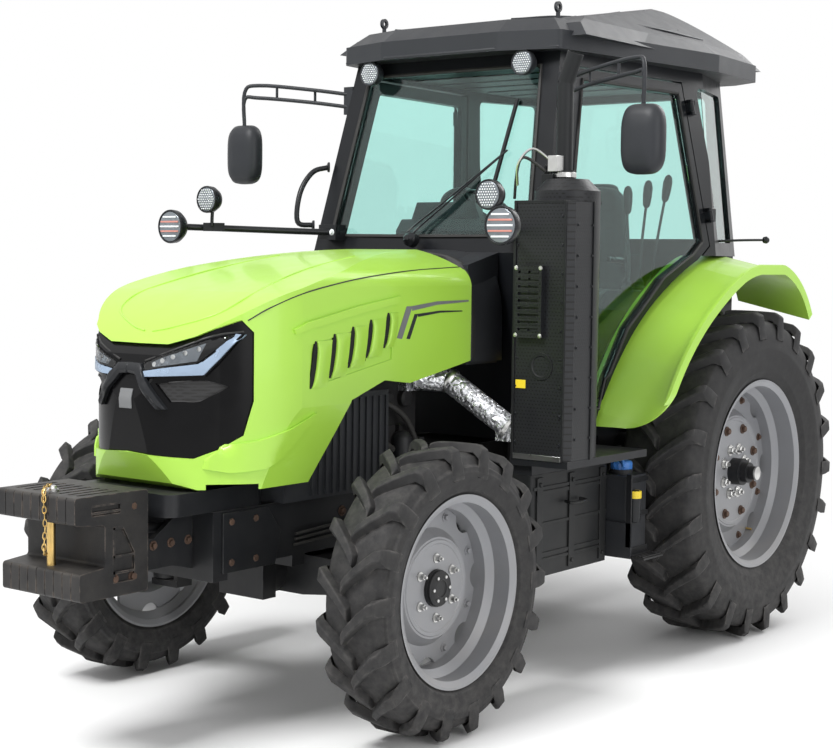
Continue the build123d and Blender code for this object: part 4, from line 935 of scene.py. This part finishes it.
def makeCabinetTrim():
    bm, wires, clamps = (bmesh.new() for k in range(3))
    for k in range(9):
        for y in (0.622, 0.822):
            addBolt(bm, (cabinet["front"], y, cabinet["low"] + 0.06 + 0.107 * k), (1, 0, 0), 0.0042, 0.005, 2)
    for k in range(8):
        for x in (0.304, 0.205):
            addBolt(bm, (x, cabinet["outer"], cabinet["low"] + 0.08 + 0.115 * k), (0, 1, 0), 0.0042, 0.005, 2)
    vents = cabinet["vents"]
    for y in vents["columns"]:
        for z in (vents["first"] + vents["pitch"] * k for k in range(vents["rows"])):
            addBlock(bm, (0.374, y, z), (0.3775, y + 0.034, z + 0.009), 2)
    addParts(bm, cabinetParts)
    for k in range(5):
        addTurned(bm, (0.212, 0.65 + 0.012 * k, 1.992), (0, 0, 1), [(0, 0.006), (0.03, 0.006), (0.034, 0.003)], 10, 1)
    addParts(wires, capWires)
    addParts(clamps, pipeClamps)
    meshPiece(bm, "cabinetTrim", ["brightSteel", "sheetBlack", "satinBlack", "tagYellow"], "chassis",
              bevel=0.0008)
    meshPiece(wires, "capWiring", ["sealRubber", "brightSteel"], "chassis")
    meshPiece(clamps, "pipeClamps", "brightSteel", "chassis")


makeCabinetTrim()
print("exhaust trimmed")

# cab: window seals as (y, z) on the screen and (x, z) on the sides, and door handles
cab = {"screen": [(-0.505, 1.760), (0.505, 1.760), (0.440, 2.440), (-0.440, 2.440)],
       "side": [(-0.030, 1.700), (-0.205, 2.390), (-0.895, 2.390), (-1.000, 1.750), (-0.910, 1.690), (-0.690, 1.590),
                (-0.440, 1.385), (-0.305, 1.180), (-0.262, 1.060), (-0.120, 1.060)],
       "seal": 0.0085, "grow": 0.006, "handle": (-0.10, 1.50)}
cabSkin = surfaceOf("cab_frame", "cab_glass", "door_left", "door_right", "door_glass_left", "door_glass_right")


def loopOn(bm, points, cast, radius):
    # a seal bead that follows a window's edge, a little outside it
    middle = (sum(a for a, b in points) / len(points), sum(b for a, b in points) / len(points))
    line = []
    for (a, b), (c, d) in zip(points, points[1:] + points[:1]):
        for s in range(10):
            u, v = a + (c - a) * s / 10, b + (d - b) * s / 10
            du, dv = u - middle[0], v - middle[1]
            grow = cab["grow"] / sqrt(du * du + dv * dv)
            line.append(cast(u + du * grow, v + dv * grow))
    line = [spot for spot in line if spot]
    addTube(bm, line + line[:1], radius, 6, steps=0)


def makeSeals():
    bm = bmesh.new()
    loopOn(bm, cab["screen"], lambda y, z: castOn(cabSkin, (1.0, y, z), (-1, 0, 0), 0.001), cab["seal"])
    meshPiece(bm, "screenSeal", "sealRubber", "chassis")
    x, z = cab["handle"]
    for side, name in ((1, "left"), (-1, "right")):
        bm = bmesh.new()
        loopOn(bm, cab["side"], lambda x, z: castOn(cabSkin, (x, side * 1.2, z), (0, -side, 0), 0.001),
               cab["seal"] * 0.8)
        y = castOn(cabSkin, (x, side * 1.2, z), (0, -side, 0)).y
        addBlock(bm, (x - 0.03, y, z - 0.09), (x + 0.02, y + side * 0.03, z + 0.07))
        meshPiece(bm, f"doorSeal_{name}", "sealRubber", f"door_{name}")


makeSeals()

# wiper: its arm and blade run straight between two (y, z) ends
wiper = {"pivot": (0.235, -0.017, 1.735), "arm": ((-0.07, 1.775), (0.345, 2.103)), "armSteps": 3,
         "blade": ((0.290, 1.88), (0.352, 2.31)), "bladeSteps": 14}
grabBar = {"bar": ("tube", 0, [(0.155, 0.585, 1.800), (0.215, 0.62, 1.815), (0.19, 0.628, 1.94), (0.125, 0.615, 2.03),
                               (0.055, 0.585, 2.055)], 0.0115, 12, 6)}
grabBar.update({name: ("turned", 0, place, (0.7, 0.7, 0), [(0, 0.022), (0.008, 0.022), (0.012, 0.014)], 16)
                for name, place in (("lowFoot", (0.150, 0.580, 1.800)), ("highFoot", (0.052, 0.580, 2.055)))})
hingeCovers = {"upper": ("block", 0, (-1.02, 0.615, 2.31), (-0.983, 0.64, 2.37)),
               "lower": ("block", 0, (-1.1, 0.673, 1.84), (-1.063, 0.698, 1.9))}
rearRod = {"rod": ("tube", 0, [(-1.20, 0.60, 1.755), (-1.28, 0.72, 1.762), (-1.36, 0.80, 1.765)], 0.006, 8, 4),
           "knob": ("turned", 0, (-1.36, 0.80, 1.765), (-0.7, 0.7, 0),
                    [(0, 0.006), (0.004, 0.014), (0.018, 0.017), (0.028, 0.012), (0.032, 0.004)], 16)}


def onScreen(ends, t, lift, shift=0.0):
    (y0, z0), (y1, z1) = ends
    y, z = y0 + (y1 - y0) * t + shift, z0 + (z1 - z0) * t
    return castOn(cabSkin, (1.0, y, z), (-1, 0, 0), lift) or Vector((0.1, y, z))


def makeWiper():
    bm, grab, covers = (bmesh.new() for k in range(3))
    px, py, pz = wiper["pivot"]
    addTurned(bm, (px - 0.06, py, pz), (1, 0, 0.25), [(0, 0.03), (0.03, 0.03), (0.04, 0.02), (0.05, 0.012)], 20)
    for shift in (0.0, 0.035):
        arm = [onScreen(wiper["arm"], t, 0.045 - 0.03 * t, shift * (1 - t))
               for t in (k / wiper["armSteps"] for k in range(wiper["armSteps"] + 1))]
        addTube(bm, [Vector((px, py + shift, pz))] + arm, 0.0065, 8, steps=5, flat=0.6)
    steps = wiper["bladeSteps"]
    addTube(bm, [onScreen(wiper["blade"], k / steps, 0.011) for k in range(steps + 1)], 0.009, 8, steps=0)
    for side in (-1, 1):
        addParts(grab, grabBar, side)
        addParts(covers, hingeCovers, side)
    addParts(covers, rearRod)
    meshPiece(bm, "screenWiper", "satinBlack", "chassis")
    meshPiece(grab, "grabBars", "satinBlack", "chassis")
    meshPiece(covers, "hingeCovers", "satinBlack", "chassis", bevel=0.004)


makeWiper()

# roof: ribs and the brim's bead as lines of (x, y), and the head lining's slats
roof = {"ribs": [[(-0.05, 0.30), (-0.30, 0.42), (-0.8, 0.50), (-1.3, 0.50)],
                 [(-0.10, 0.12), (-0.4, 0.12), (-0.8, 0.12), (-1.2, 0.12)]],
        "brim": [(0.046, 0.0), (0.046, 0.28), (-0.02, 0.545), (-0.55, 0.62), (-1.09, 0.688), (-1.545, 0.64),
                 (-1.62, 0.49), (-1.62, 0.0)],
        "brimHeight": 2.508, "slats": 6, "slatPitch": 0.19}


def makeRoofTrim():
    trim, lining = bmesh.new(), bmesh.new()
    roofSkin = surfaceOf("cab_roof")
    for side in (-1, 1):
        for rib in roof["ribs"]:
            addTube(trim, [castOn(roofSkin, (x, side * y, 4.0), (0, 0, -1)) for x, y in rib], 0.006, 8, steps=6)
        addTube(trim, [Vector((x, side * y, roof["brimHeight"])) for x, y in roof["brim"]], 0.007, 8, steps=0)
    addBlock(lining, (-1.42, -0.52, 2.462), (-0.12, 0.52, 2.488))
    for x in (-1.25 + roof["slatPitch"] * k for k in range(roof["slats"])):
        addBlock(lining, (x, -0.46, 2.456), (x + 0.10, 0.46, 2.464))
    meshPiece(trim, "roofTrim", "charcoalPlastic", "chassis")
    meshPiece(lining, "headLining", "charcoalPlastic", "chassis", bevel=0.004)


makeRoofTrim()

# seat: padded cushions on a shell, with arm rests
cushions = {"seatCushion": {"centre": (-0.985, 0.0, 1.470), "size": (0.23, 0.215, 0.055), "tilt": 0.05},
            "seatBack": {"centre": (-1.165, 0.0, 1.74), "size": (0.27, 0.205, 0.055), "tilt": pi / 2 + 0.12},
            "seatHeadRest": {"centre": (-1.20, 0.0, 1.955), "size": (0.07, 0.13, 0.03), "tilt": pi / 2 + 0.12}}
seatFrame = {"pan": ("block", 0, (-1.17, -0.19, 1.395), (-0.77, 0.19, 1.43)),
             "column": ("block", 0, (-1.10, -0.10, 1.255), (-0.87, 0.10, 1.40))}
armRest = {"rail": ("tube", 0, [(-1.15, 0.20, 1.62), (-1.12, 0.215, 1.66), (-0.98, 0.215, 1.67)], 0.014, 10, 4)}


def makeCushion(name, spec):
    bm = bmesh.new()
    wide, deep, thick = spec["size"]
    turn = Matrix.Translation(spec["centre"]) @ Matrix.Rotation(spec["tilt"], 4, "Y")
    rings = []
    for t in (layer / 6 for layer in range(-6, 7)):
        scale = 0.72 + 0.28 * max(0.0, 1 - abs(t) ** 3.2) ** 0.45
        rings.append([turn @ Vector((u, v, thick * t * (1 + 0.10 * (1 - (u / wide) ** 2) * (1 - (v / deep) ** 2))))
                      for u, v in roundedRing(wide * scale, deep * scale, 0.42, 44)])
    addRings(bm, rings)
    # sewn channels across the cushion
    for k in range(-2, 3):
        addTube(bm, [turn @ Vector((wide * 0.3 * k, deep * v, thick * 1.02 * (1 - 0.1 * v * v)))
                     for v in (-0.86 + 1.72 * j / 12 for j in range(13))], 0.0022, 6, steps=0)
    piece = meshPiece(bm, name, "seatCloth", "chassis", angle=70)
    soft = piece.modifiers.new("softness", "SUBSURF")
    soft.levels = soft.render_levels = 1
    return piece


def makeSeat():
    made = {name: makeCushion(name, spec) for name, spec in cushions.items()}
    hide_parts("seat")
    bm = bmesh.new()
    addParts(bm, seatFrame)
    # bellows round the column
    for k in range(5):
        addBlock(bm, (-1.105 + 0.003 * k, -0.115, 1.275 + 0.022 * k), (-0.865, 0.115, 1.287 + 0.022 * k))
    for side in (-1, 1):
        addParts(bm, armRest, side)
    meshPiece(bm, "seatFrame", "satinBlack", "chassis", bevel=0.004)


makeSeat()

# dash with round blank dials, stalks and pedals, and the levers on the side console
dash = {"face": [(-0.02, -0.19, 1.80), (-0.02, 0.19, 1.80), (-0.02, 0.15, 1.90), (-0.02, -0.15, 1.90)],
        "dials": (-0.09, 0.0, 0.09), "pedals": (-0.14, -0.24, 0.20),
        "stalk": {"rod": ("tube", 0, [(-0.20, 0.03, 1.76), (-0.21, 0.12, 1.79)], 0.006, 8, 0),
                  "knob": ("turned", 0, (-0.21, 0.12, 1.79), (0, 1, 0.2),
                           [(0, 0.007), (0.01, 0.013), (0.03, 0.012), (0.034, 0.004)], 14)}}
levers = {"feet": (-0.80, -0.90, -1.00),
          "grip": [(0, 0.009), (0.012, 0.016), (0.05, 0.020), (0.09, 0.021), (0.115, 0.015), (0.124, 0.005)],
          "boot": [(0, 0.032), (0.012, 0.026), (0.024, 0.029), (0.036, 0.020), (0.048, 0.022), (0.07, 0.009)],
          "console": [(-1.16, 1.25), (-1.16, 1.50), (-1.05, 1.545), (-0.78, 1.53), (-0.68, 1.45), (-0.70, 1.25)]}


def makeControls():
    bm, side = bmesh.new(), bmesh.new()
    addPlate(bm, dash["face"], (-0.05, 0, -0.02))
    for y in dash["dials"]:
        addTurned(bm, (-0.071, y, 1.842), (-1, 0, 0.35), [(0, 0.036), (0.006, 0.036), (0.006, 0.031), (0.003, 0.030),
                                                          (0.003, 0.001)], 28, 1)
    for hand in (-1, 1):
        addParts(bm, dash["stalk"], hand)
    for y in dash["pedals"]:
        addTube(bm, [(-0.10, y, 1.30), (-0.18, y, 1.13)], 0.009, 8, 2, steps=0)
        addBlock(bm, (-0.25, y - 0.035, 1.08), (-0.17, y + 0.035, 1.095), 3)
    for k, x in enumerate(levers["feet"]):
        foot, top = Vector((x, 0.42, 1.50)), Vector((x - 0.03 - 0.02 * k, 0.40 + 0.03 * k, 1.93 + 0.03 * k))
        way = (top - foot).normalized()
        addTube(side, [foot, foot.lerp(top, 0.5) + Vector((0.01, 0, 0)), top], 0.0065, 10, 1, steps=4)
        addTurned(side, top - way * 0.06, way, levers["grip"], 20, 0)
        addTurned(side, foot + way * 0.02, way, levers["boot"], 20, 2)
    addPlate(side, [(x, 0.33, z) for x, z in levers["console"]], (0, 0.19, 0), 2)
    meshPiece(bm, "dashDetail", ["charcoalPlastic", "lampGrey", "brightSteel", "sealRubber"], "chassis",
              bevel=0.002)
    meshPiece(side, "sideLevers", ["satinBlack", "satinBlack", "charcoalPlastic"], "chassis",
              bevel=0.006)


makeControls()
print("cab fitted")

# front weights: pin, chain as (from the front face, y, z), and raised frames on the sides as (x0, x1, z0, z1)
weights = {"pin": 0.065, "rim": 0.008, "frames": [(1.93, 2.10, 0.840, 0.872), (1.875, 1.99, 0.60, 0.645),
                                                  (1.875, 1.99, 0.69, 0.79)],
           "chain": [(-0.065, 0.0, 0.922), (-0.01, 0.035, 0.918), (0.006, 0.05, 0.88), (0.006, 0.056, 0.80),
                     (0.006, 0.05, 0.725), (-0.02, 0.03, 0.70)],
           "bolts": {"bolts": ("bolts", 2, [(1.90, 0.181, 0.85), (1.90, 0.181, 0.62), (1.98, 0.181, 0.62)],
                               (0, 1, 0), 0.011, 0.012)}}


def makeWeightTrim():
    bm = bmesh.new()
    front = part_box("front_weights")[1].x
    pin = front - weights["pin"]
    addTurned(bm, (pin, 0.0, 0.655), (0, 0, 1), [(0, 0.014), (0.16, 0.014)], 20, 0)
    addTurned(bm, (pin, 0.0, 0.898), (0, 0, 1), [(0, 0.026), (0.008, 0.026), (0.012, 0.018), (0.02, 0.016)], 20, 1)
    # every second link stands across the last
    spots = smoothPath([(front + x, y, z) for x, y, z in weights["chain"]], 4)
    for k, (first, second) in enumerate(zip(spots, spots[1:])):
        middle, way = (first + second) / 2, (second - first).normalized()
        side = way.orthogonal().normalized()
        if k % 2:
            side = way.cross(side)
        turns = [2 * pi * j / 14 for j in range(15)]
        addTube(bm, [middle + way * 0.0125 * cos(a) + side * 0.006 * sin(a) for a in turns], 0.0018, 6, steps=0)
    rim = weights["rim"]
    for side in (-1, 1):
        addParts(bm, weights["bolts"], side)
        for x0, x1, z0, z1 in weights["frames"]:
            for w0, w1, v0, v1 in ((x0, x1, z0, z0 + rim), (x0, x1, z1 - rim, z1), (x0, x0 + rim, z0, z1),
                                   (x1 - rim, x1, z0, z1)):
                addBlock(bm, (w0, 0.178, v0), (w1, 0.1895, v1), 3, side)
    meshPiece(bm, "weightChain", ["brass", "brightSteel", "rustySteel", "weightIron"], "chassis")


makeWeightTrim()

# chassis: bracket plates and bolts, pipes on the rails, hoses and filters beside the engine
chassisParts = {
    "sideBolts": ("bolts", 0, [(x, 0.250, z) for x, z in ((1.40, 0.62), (1.52, 0.62), (1.40, 0.76), (1.52, 0.76),
                                                          (0.55, 0.73), (0.93, 0.73), (0.70, 0.66))],
                  (0, 1, 0), 0.012, 0.014),
    "noseBolts": ("bolts", 0, [(1.62, 0.150, 0.70), (1.70, 0.150, 0.70), (1.78, 0.150, 0.70)], (0, 1, 0), 0.010, 0.012),
    "airHose": ("tube", 2, [(1.10, 0.245, 0.98), (0.95, 0.262, 1.02), (0.78, 0.26, 1.00), (0.62, 0.235, 0.93)],
                0.016, 12, 6),
    "filterHose": ("tube", 2, [(0.66, 0.215, 1.12), (0.56, 0.25, 1.05), (0.47, 0.245, 0.92), (0.45, 0.22, 0.83)],
                   0.012, 12, 6),
    "tallFilter": ("turned", 1, (0.57, 0.245, 0.84), (0, 0, 1),
                   [(0, 0.02), (0.01, 0.04), (0.13, 0.042), (0.15, 0.03), (0.16, 0.015)], 28),
    "longFilter": ("turned", 3, (0.70, 0.238, 1.05), (1, 0, 0.1),
                   [(0, 0.02), (0.01, 0.032), (0.10, 0.032), (0.11, 0.02)], 24)}
chassisParts.update({f"railPipe{k}": ("tube", 2, [(1.20, 0.258 + 0.004 * k, 0.64 + 0.02 * k),
                                                  (0.9, 0.262, 0.655 + 0.02 * k), (0.6, 0.262, 0.675 + 0.018 * k),
                                                  (0.36, 0.25, 0.70 + 0.018 * k)], 0.0055, 8, 4) for k in range(3)})
bracketPlate = [(1.30, 0.2505, 0.585), (1.56, 0.2505, 0.585), (1.56, 0.2505, 0.792), (1.34, 0.2505, 0.792),
                (1.27, 0.2505, 0.70)]
engine = {"ribs": 4, "ribPitch": 0.115, "bolts": 8, "boltPitch": 0.068,
          "pulley": [(0, 0.09), (0.02, 0.09), (0.025, 0.08), (0.035, 0.08), (0.04, 0.09), (0.055, 0.09)]}


def makeChassisTrim():
    bm, ribs = bmesh.new(), bmesh.new()
    for side in (-1, 1):
        addParts(bm, chassisParts, side)
        addPlate(bm, mirrored(side, bracketPlate), (0, side * 0.008, 0), 1)
        # cast ribs and covers on the engine's sides
        for x in (0.47 + engine["ribPitch"] * k for k in range(engine["ribs"])):
            addBlock(ribs, (x, 0.198, 0.86), (x + 0.085, 0.222, 1.02), 0, side)
            addTurned(ribs, (x + 0.042, side * 0.2, 1.12), (0, side, 0),
                      [(0, 0.034), (0.022, 0.034), (0.03, 0.024)], 24)
        addBlock(ribs, (0.44, 0.198, 0.70), (0.95, 0.212, 0.80), 0, side)
        for k in range(engine["bolts"]):
            addBolt(ribs, (0.46 + engine["boltPitch"] * k, side * 0.212, 0.75), (0, side, 0), 0.008, 0.009)
    addTurned(ribs, (0.958, 0, 0.85), (1, 0, 0), engine["pulley"], 40)
    meshPiece(bm, "chassisTrim", ["rustySteel", "chassisBlack", "sealRubber", "castIron"], "chassis",
              bevel=0.0015)
    meshPiece(ribs, "engineRibs", "castIron", "chassis", bevel=0.003)


makeChassisTrim()

# fluid tank's cap, its filter with a yellow band, the step's treads and the box beside the cab
tank = {"inset": 0.08, "y": 0.700, "knurl": 1.07,
        "cap": [(0.808, 0.041), (0.815, 0.043), (0.836, 0.043), (0.842, 0.036), (0.843, 0.002)]}
tankParts = {
    "filter": ("turned", 1, (-0.275, 0.79, 0.60), (0, 0, 1),
               [(0, 0.01), (0.005, 0.026), (0.12, 0.028), (0.13, 0.02)], 24),
    "filterBand": ("turned", 2, (-0.275, 0.79, 0.70), (0, 0, 1), [(0, 0.0285), (0.03, 0.0285)], 24),
    "filterStrap": ("block", 3, (-0.24, 0.775, 0.50), (-0.232, 0.80, 0.80)),
    "blankTag": ("block", 2, (0.072, 0.42, 1.235), (0.076, 0.455, 1.295))}
boxParts = {
    "handle": ("tube", 0, [(0.0, 0.697, 0.72), (0.0, 0.73, 0.715), (0.10, 0.73, 0.715), (0.10, 0.697, 0.72)],
               0.007, 8, 4),
    "bolts": ("bolts", 0, [(x, 0.696, z) for x in (-0.18, 0.05, 0.28) for z in (0.48, 0.80)], (0, 1, 0),
              0.008, 0.008)}
boxParts.update({f"post{k}": ("block", 0, (x, 0.6895, 0.455), (x + 0.04, 0.697, 0.828))
                 for k, x in enumerate((-0.20, 0.03, 0.26))})
boxParts.update({f"rib{k}": ("block", 0, (-0.215, 0.6895, z), (0.318, 0.695, z + 0.012))
                 for k, z in enumerate((0.50, 0.64, 0.78))})


def makeSideTrim():
    bm, box = bmesh.new(), bmesh.new()
    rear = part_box("fluid_tank")[0].x
    x, y = rear + tank["inset"], tank["y"]
    rings = []
    for z, r in tank["cap"]:
        knurled = [r * tank["knurl"] if j % 2 else r for j in range(24)]
        rings.append([Vector((x + w * cos(2 * pi * j / 24), y + w * sin(2 * pi * j / 24), z))
                      for j, w in enumerate(knurled)])
    addRings(bm, rings)
    addTube(bm, [(x, y, 0.842), (x + 0.03, y + 0.02, 0.85), (x + 0.05, y + 0.04, 0.82)], 0.008, 8, steps=4)
    addParts(bm, tankParts)
    addBlock(bm, (rear + 0.006, 0.778, 0.455), (-0.236, 0.862, 0.463), 3)
    for y in (0.785 + 0.016 * k for k in range(5)):
        addBlock(bm, (rear + 0.01, y, 0.463), (-0.24, y + 0.006, 0.469), 3)
    for z in (0.475, 0.62, 0.76):
        addBlock(bm, (rear + 0.002, 0.7795, z), (-0.244, 0.784, z + 0.02), 3)
    addParts(box, boxParts)
    meshPiece(bm, "tankTrim", ["capBlue", "satinBlack", "tagYellow", "chassisBlack"], "chassis",
              bevel=0.0015)
    meshPiece(box, "sideBoxTrim", "sheetBlack", "chassis", bevel=0.002)


makeSideTrim()

# front axle: steering cylinder with its rod, a bolt on each end and the round cover
axle = {"cover": [(0, 0.10), (0.01, 0.10), (0.02, 0.085), (0.026, 0.04), (0.028, 0.001)], "bolts": 6, "circle": 0.08,
        "endBolt": 0.03}


def makeAxleTrim():
    bm = bmesh.new()
    low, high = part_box("front_axle")
    x, z = (low.x + high.x) / 2, (low.z + high.z) / 2
    corner = axle["endBolt"] * cos(pi / 4)
    for side in (-1, 1):
        addTube(bm, [(x - 0.075, side * 0.10, z + 0.005), (x - 0.08, side * 0.44, z)], 0.022, 16, 0, steps=0)
        addTube(bm, [(x - 0.08, side * 0.44, z), (x - 0.085, side * 0.50, z - 0.005)], 0.011, 12, 1, steps=0)
        addBolt(bm, (x + corner, side * 0.60, z + 0.160), (0, 0, 1), 0.008, 0.008, 1, False)
    addTurned(bm, (x + 0.128, 0, z), (1, 0, 0), axle["cover"], 36, 0)
    for dy, dz in circleSpots(axle["bolts"], axle["circle"]):
        addBolt(bm, (x + 0.136, dy, z + dz), (1, 0, 0), 0.007, 0.01, 1)
    meshPiece(bm, "axleTrim", ["chassisBlack", "brightSteel"], "chassis", bevel=0.001)


makeAxleTrim()

# fenders: rubber edge over the wheel, found round the rear axle from the first to the last angle, and the rear lamp
fender = {"axle": (-1.15, 0.727), "edge": 0.585, "from": 17, "to": 85, "steps": 21,
          "lamp": {"lamp": ("turned", 1, (-1.585, 0.78, 1.50), (-1, 0, 0.4),
                            [(0, 0.02), (0.01, 0.045), (0.03, 0.048), (0.04, 0.044), (0.044, 0.01)], 28)}}


def makeFenderTrim():
    bm = bmesh.new()
    fenderSkin = surfaceOf("fenders")
    x, z = fender["axle"]
    for side in (-1, 1):
        line = []
        for k in range(fender["steps"] + 1):
            a = radians(fender["from"] + (fender["to"] - fender["from"]) * k / fender["steps"])
            start = (x + 1.4 * cos(a), side * fender["edge"], z + 1.4 * sin(a))
            line.append(castOn(fenderSkin, start, (-cos(a), 0, -sin(a)), -0.002))
        addTube(bm, [spot for spot in line if spot], 0.010, 8, 0, steps=0)
        addParts(bm, fender["lamp"], side)
    meshPiece(bm, "fenderTrim", ["sealRubber", "lampAmber"], "chassis")


makeFenderTrim()

# hitch: lift rod threads with their handles, hydraulic couplings and the bolts of the rear cover
liftRod = {"threads": 10, "pitch": 0.011, "foot": (-1.72, 0.325, 0.87),
           "handle": {"handle": ("tube", 0, [(-1.72, 0.325, 0.75), (-1.76, 0.345, 0.76), (-1.80, 0.345, 0.74)],
                                 0.006, 8, 3)}}
ports = {"hose": ("tube", 0, [(-1.43, 0.10, 0.83), (-1.50, 0.10, 0.84), (-1.52, 0.10, 0.80)], 0.014, 10, 3)}
ports.update({f"coupling{k}": ("turned", 1, (-1.43, 0.06 + 0.06 * k, 0.885), (-1, 0, 0),
                               [(0, 0.02), (0.05, 0.02), (0.055, 0.015)], 16) for k in range(2)})


def makeHitchTrim():
    rods, rear = bmesh.new(), bmesh.new()
    x, y, z = liftRod["foot"]
    for side in (-1, 1):
        for k in range(liftRod["threads"]):
            addTurned(rods, (x, side * y, z + liftRod["pitch"] * k), (0, 0, 1),
                      [(0, 0.014), (0.0035, 0.0165), (0.007, 0.014)], 16)
        addParts(rods, liftRod["handle"], side)
        addParts(rear, ports, side)
    for dy, dz in circleSpots(8, 0.09):
        addBolt(rear, (-1.431, dy, 0.64 + dz), (-1, 0, 0), 0.008, 0.01, 1)
    meshPiece(rods, "liftRodThreads", "brightSteel", "lift_rods")
    meshPiece(rear, "hydraulicPorts", ["chassisBlack", "brightSteel"], "chassis")


makeHitchTrim()
print("chassis trimmed")

# light, floor and backdrop
lamps = {"key": {"place": (6.0, -0.5, 8.0), "size": 3.0, "power": 800},
         "side": {"place": (2.5, 8.5, 3.5), "size": 6.0, "power": 230},
         "back": {"place": (-6.0, 2.0, 5.5), "size": 4.0, "power": 300}}
stageLook = {"floor": (0.90, 0.90, 0.90), "sky": 0.6, "fadeFrom": 2.2, "fadeTo": 4.5}


def addLamps():
    for name, spec in lamps.items():
        data = bpy.data.lights.new(name, "AREA")
        data.size = spec["size"]
        data.energy = spec["power"]
        lamp = bpy.data.objects.new(name, data)
        bpy.context.scene.collection.objects.link(lamp)
        lamp.location = spec["place"]
        toward = Vector((0.0, 0.0, 1.0)) - lamp.location
        lamp.rotation_euler = toward.to_track_quat("-Z", "Y").to_euler()


def addSky():
    world = bpy.data.worlds.new("sky")
    bpy.context.scene.world = world
    world.use_nodes = True
    tree = world.node_tree
    path = addNode(tree, "LightPath").outputs
    seen = addMath(tree, "ADD", path["Is Camera Ray"],
                   addMath(tree, "ADD", path["Is Glossy Ray"], path["Is Transmission Ray"]), clamp=True)
    level = addNode(tree, "MapRange", {"Value": seen, "To Min": stageLook["sky"], "To Max": 1.0}).outputs[0]
    feed(tree, tree.nodes["Background"], {"Strength": level, "Color": colour(1, 1, 1)})


def addFloor():
    bm = bmesh.new()
    bmesh.ops.create_grid(bm, x_segments=2, y_segments=2, size=40)
    mesh = bpy.data.meshes.new("floor")
    bm.to_mesh(mesh)
    bm.free()
    floor = bpy.data.objects.new("floor", mesh)
    bpy.context.scene.collection.objects.link(floor)
    material, tree, shader, place = startMaterial("paleFloor")
    feed(tree, shader, {"Roughness": 0.9, "Base Color": colour(*stageLook["floor"])})
    # far from the object the floor passes into the white background
    away = addNode(tree, "VectorMath", {0: place}, operation="LENGTH").outputs["Value"]
    far = addMath(tree, "MULTIPLY", addRamp(tree, away, stageLook["fadeFrom"], stageLook["fadeTo"]),
                  addNode(tree, "LightPath").outputs["Is Camera Ray"], clamp=True)
    glow = addNode(tree, "Emission", {"Color": colour(1, 1, 1), "Strength": 1.0})
    blend = addNode(tree, "MixShader", {0: far, 1: shader.outputs[0], 2: glow.outputs[0]})
    tree.links.new(blend.outputs[0], tree.nodes["Material Output"].inputs["Surface"])
    mesh.materials.append(material)


addLamps()
addSky()
addFloor()
bpy.context.scene.view_settings.view_transform = "Standard"
print("stage set")
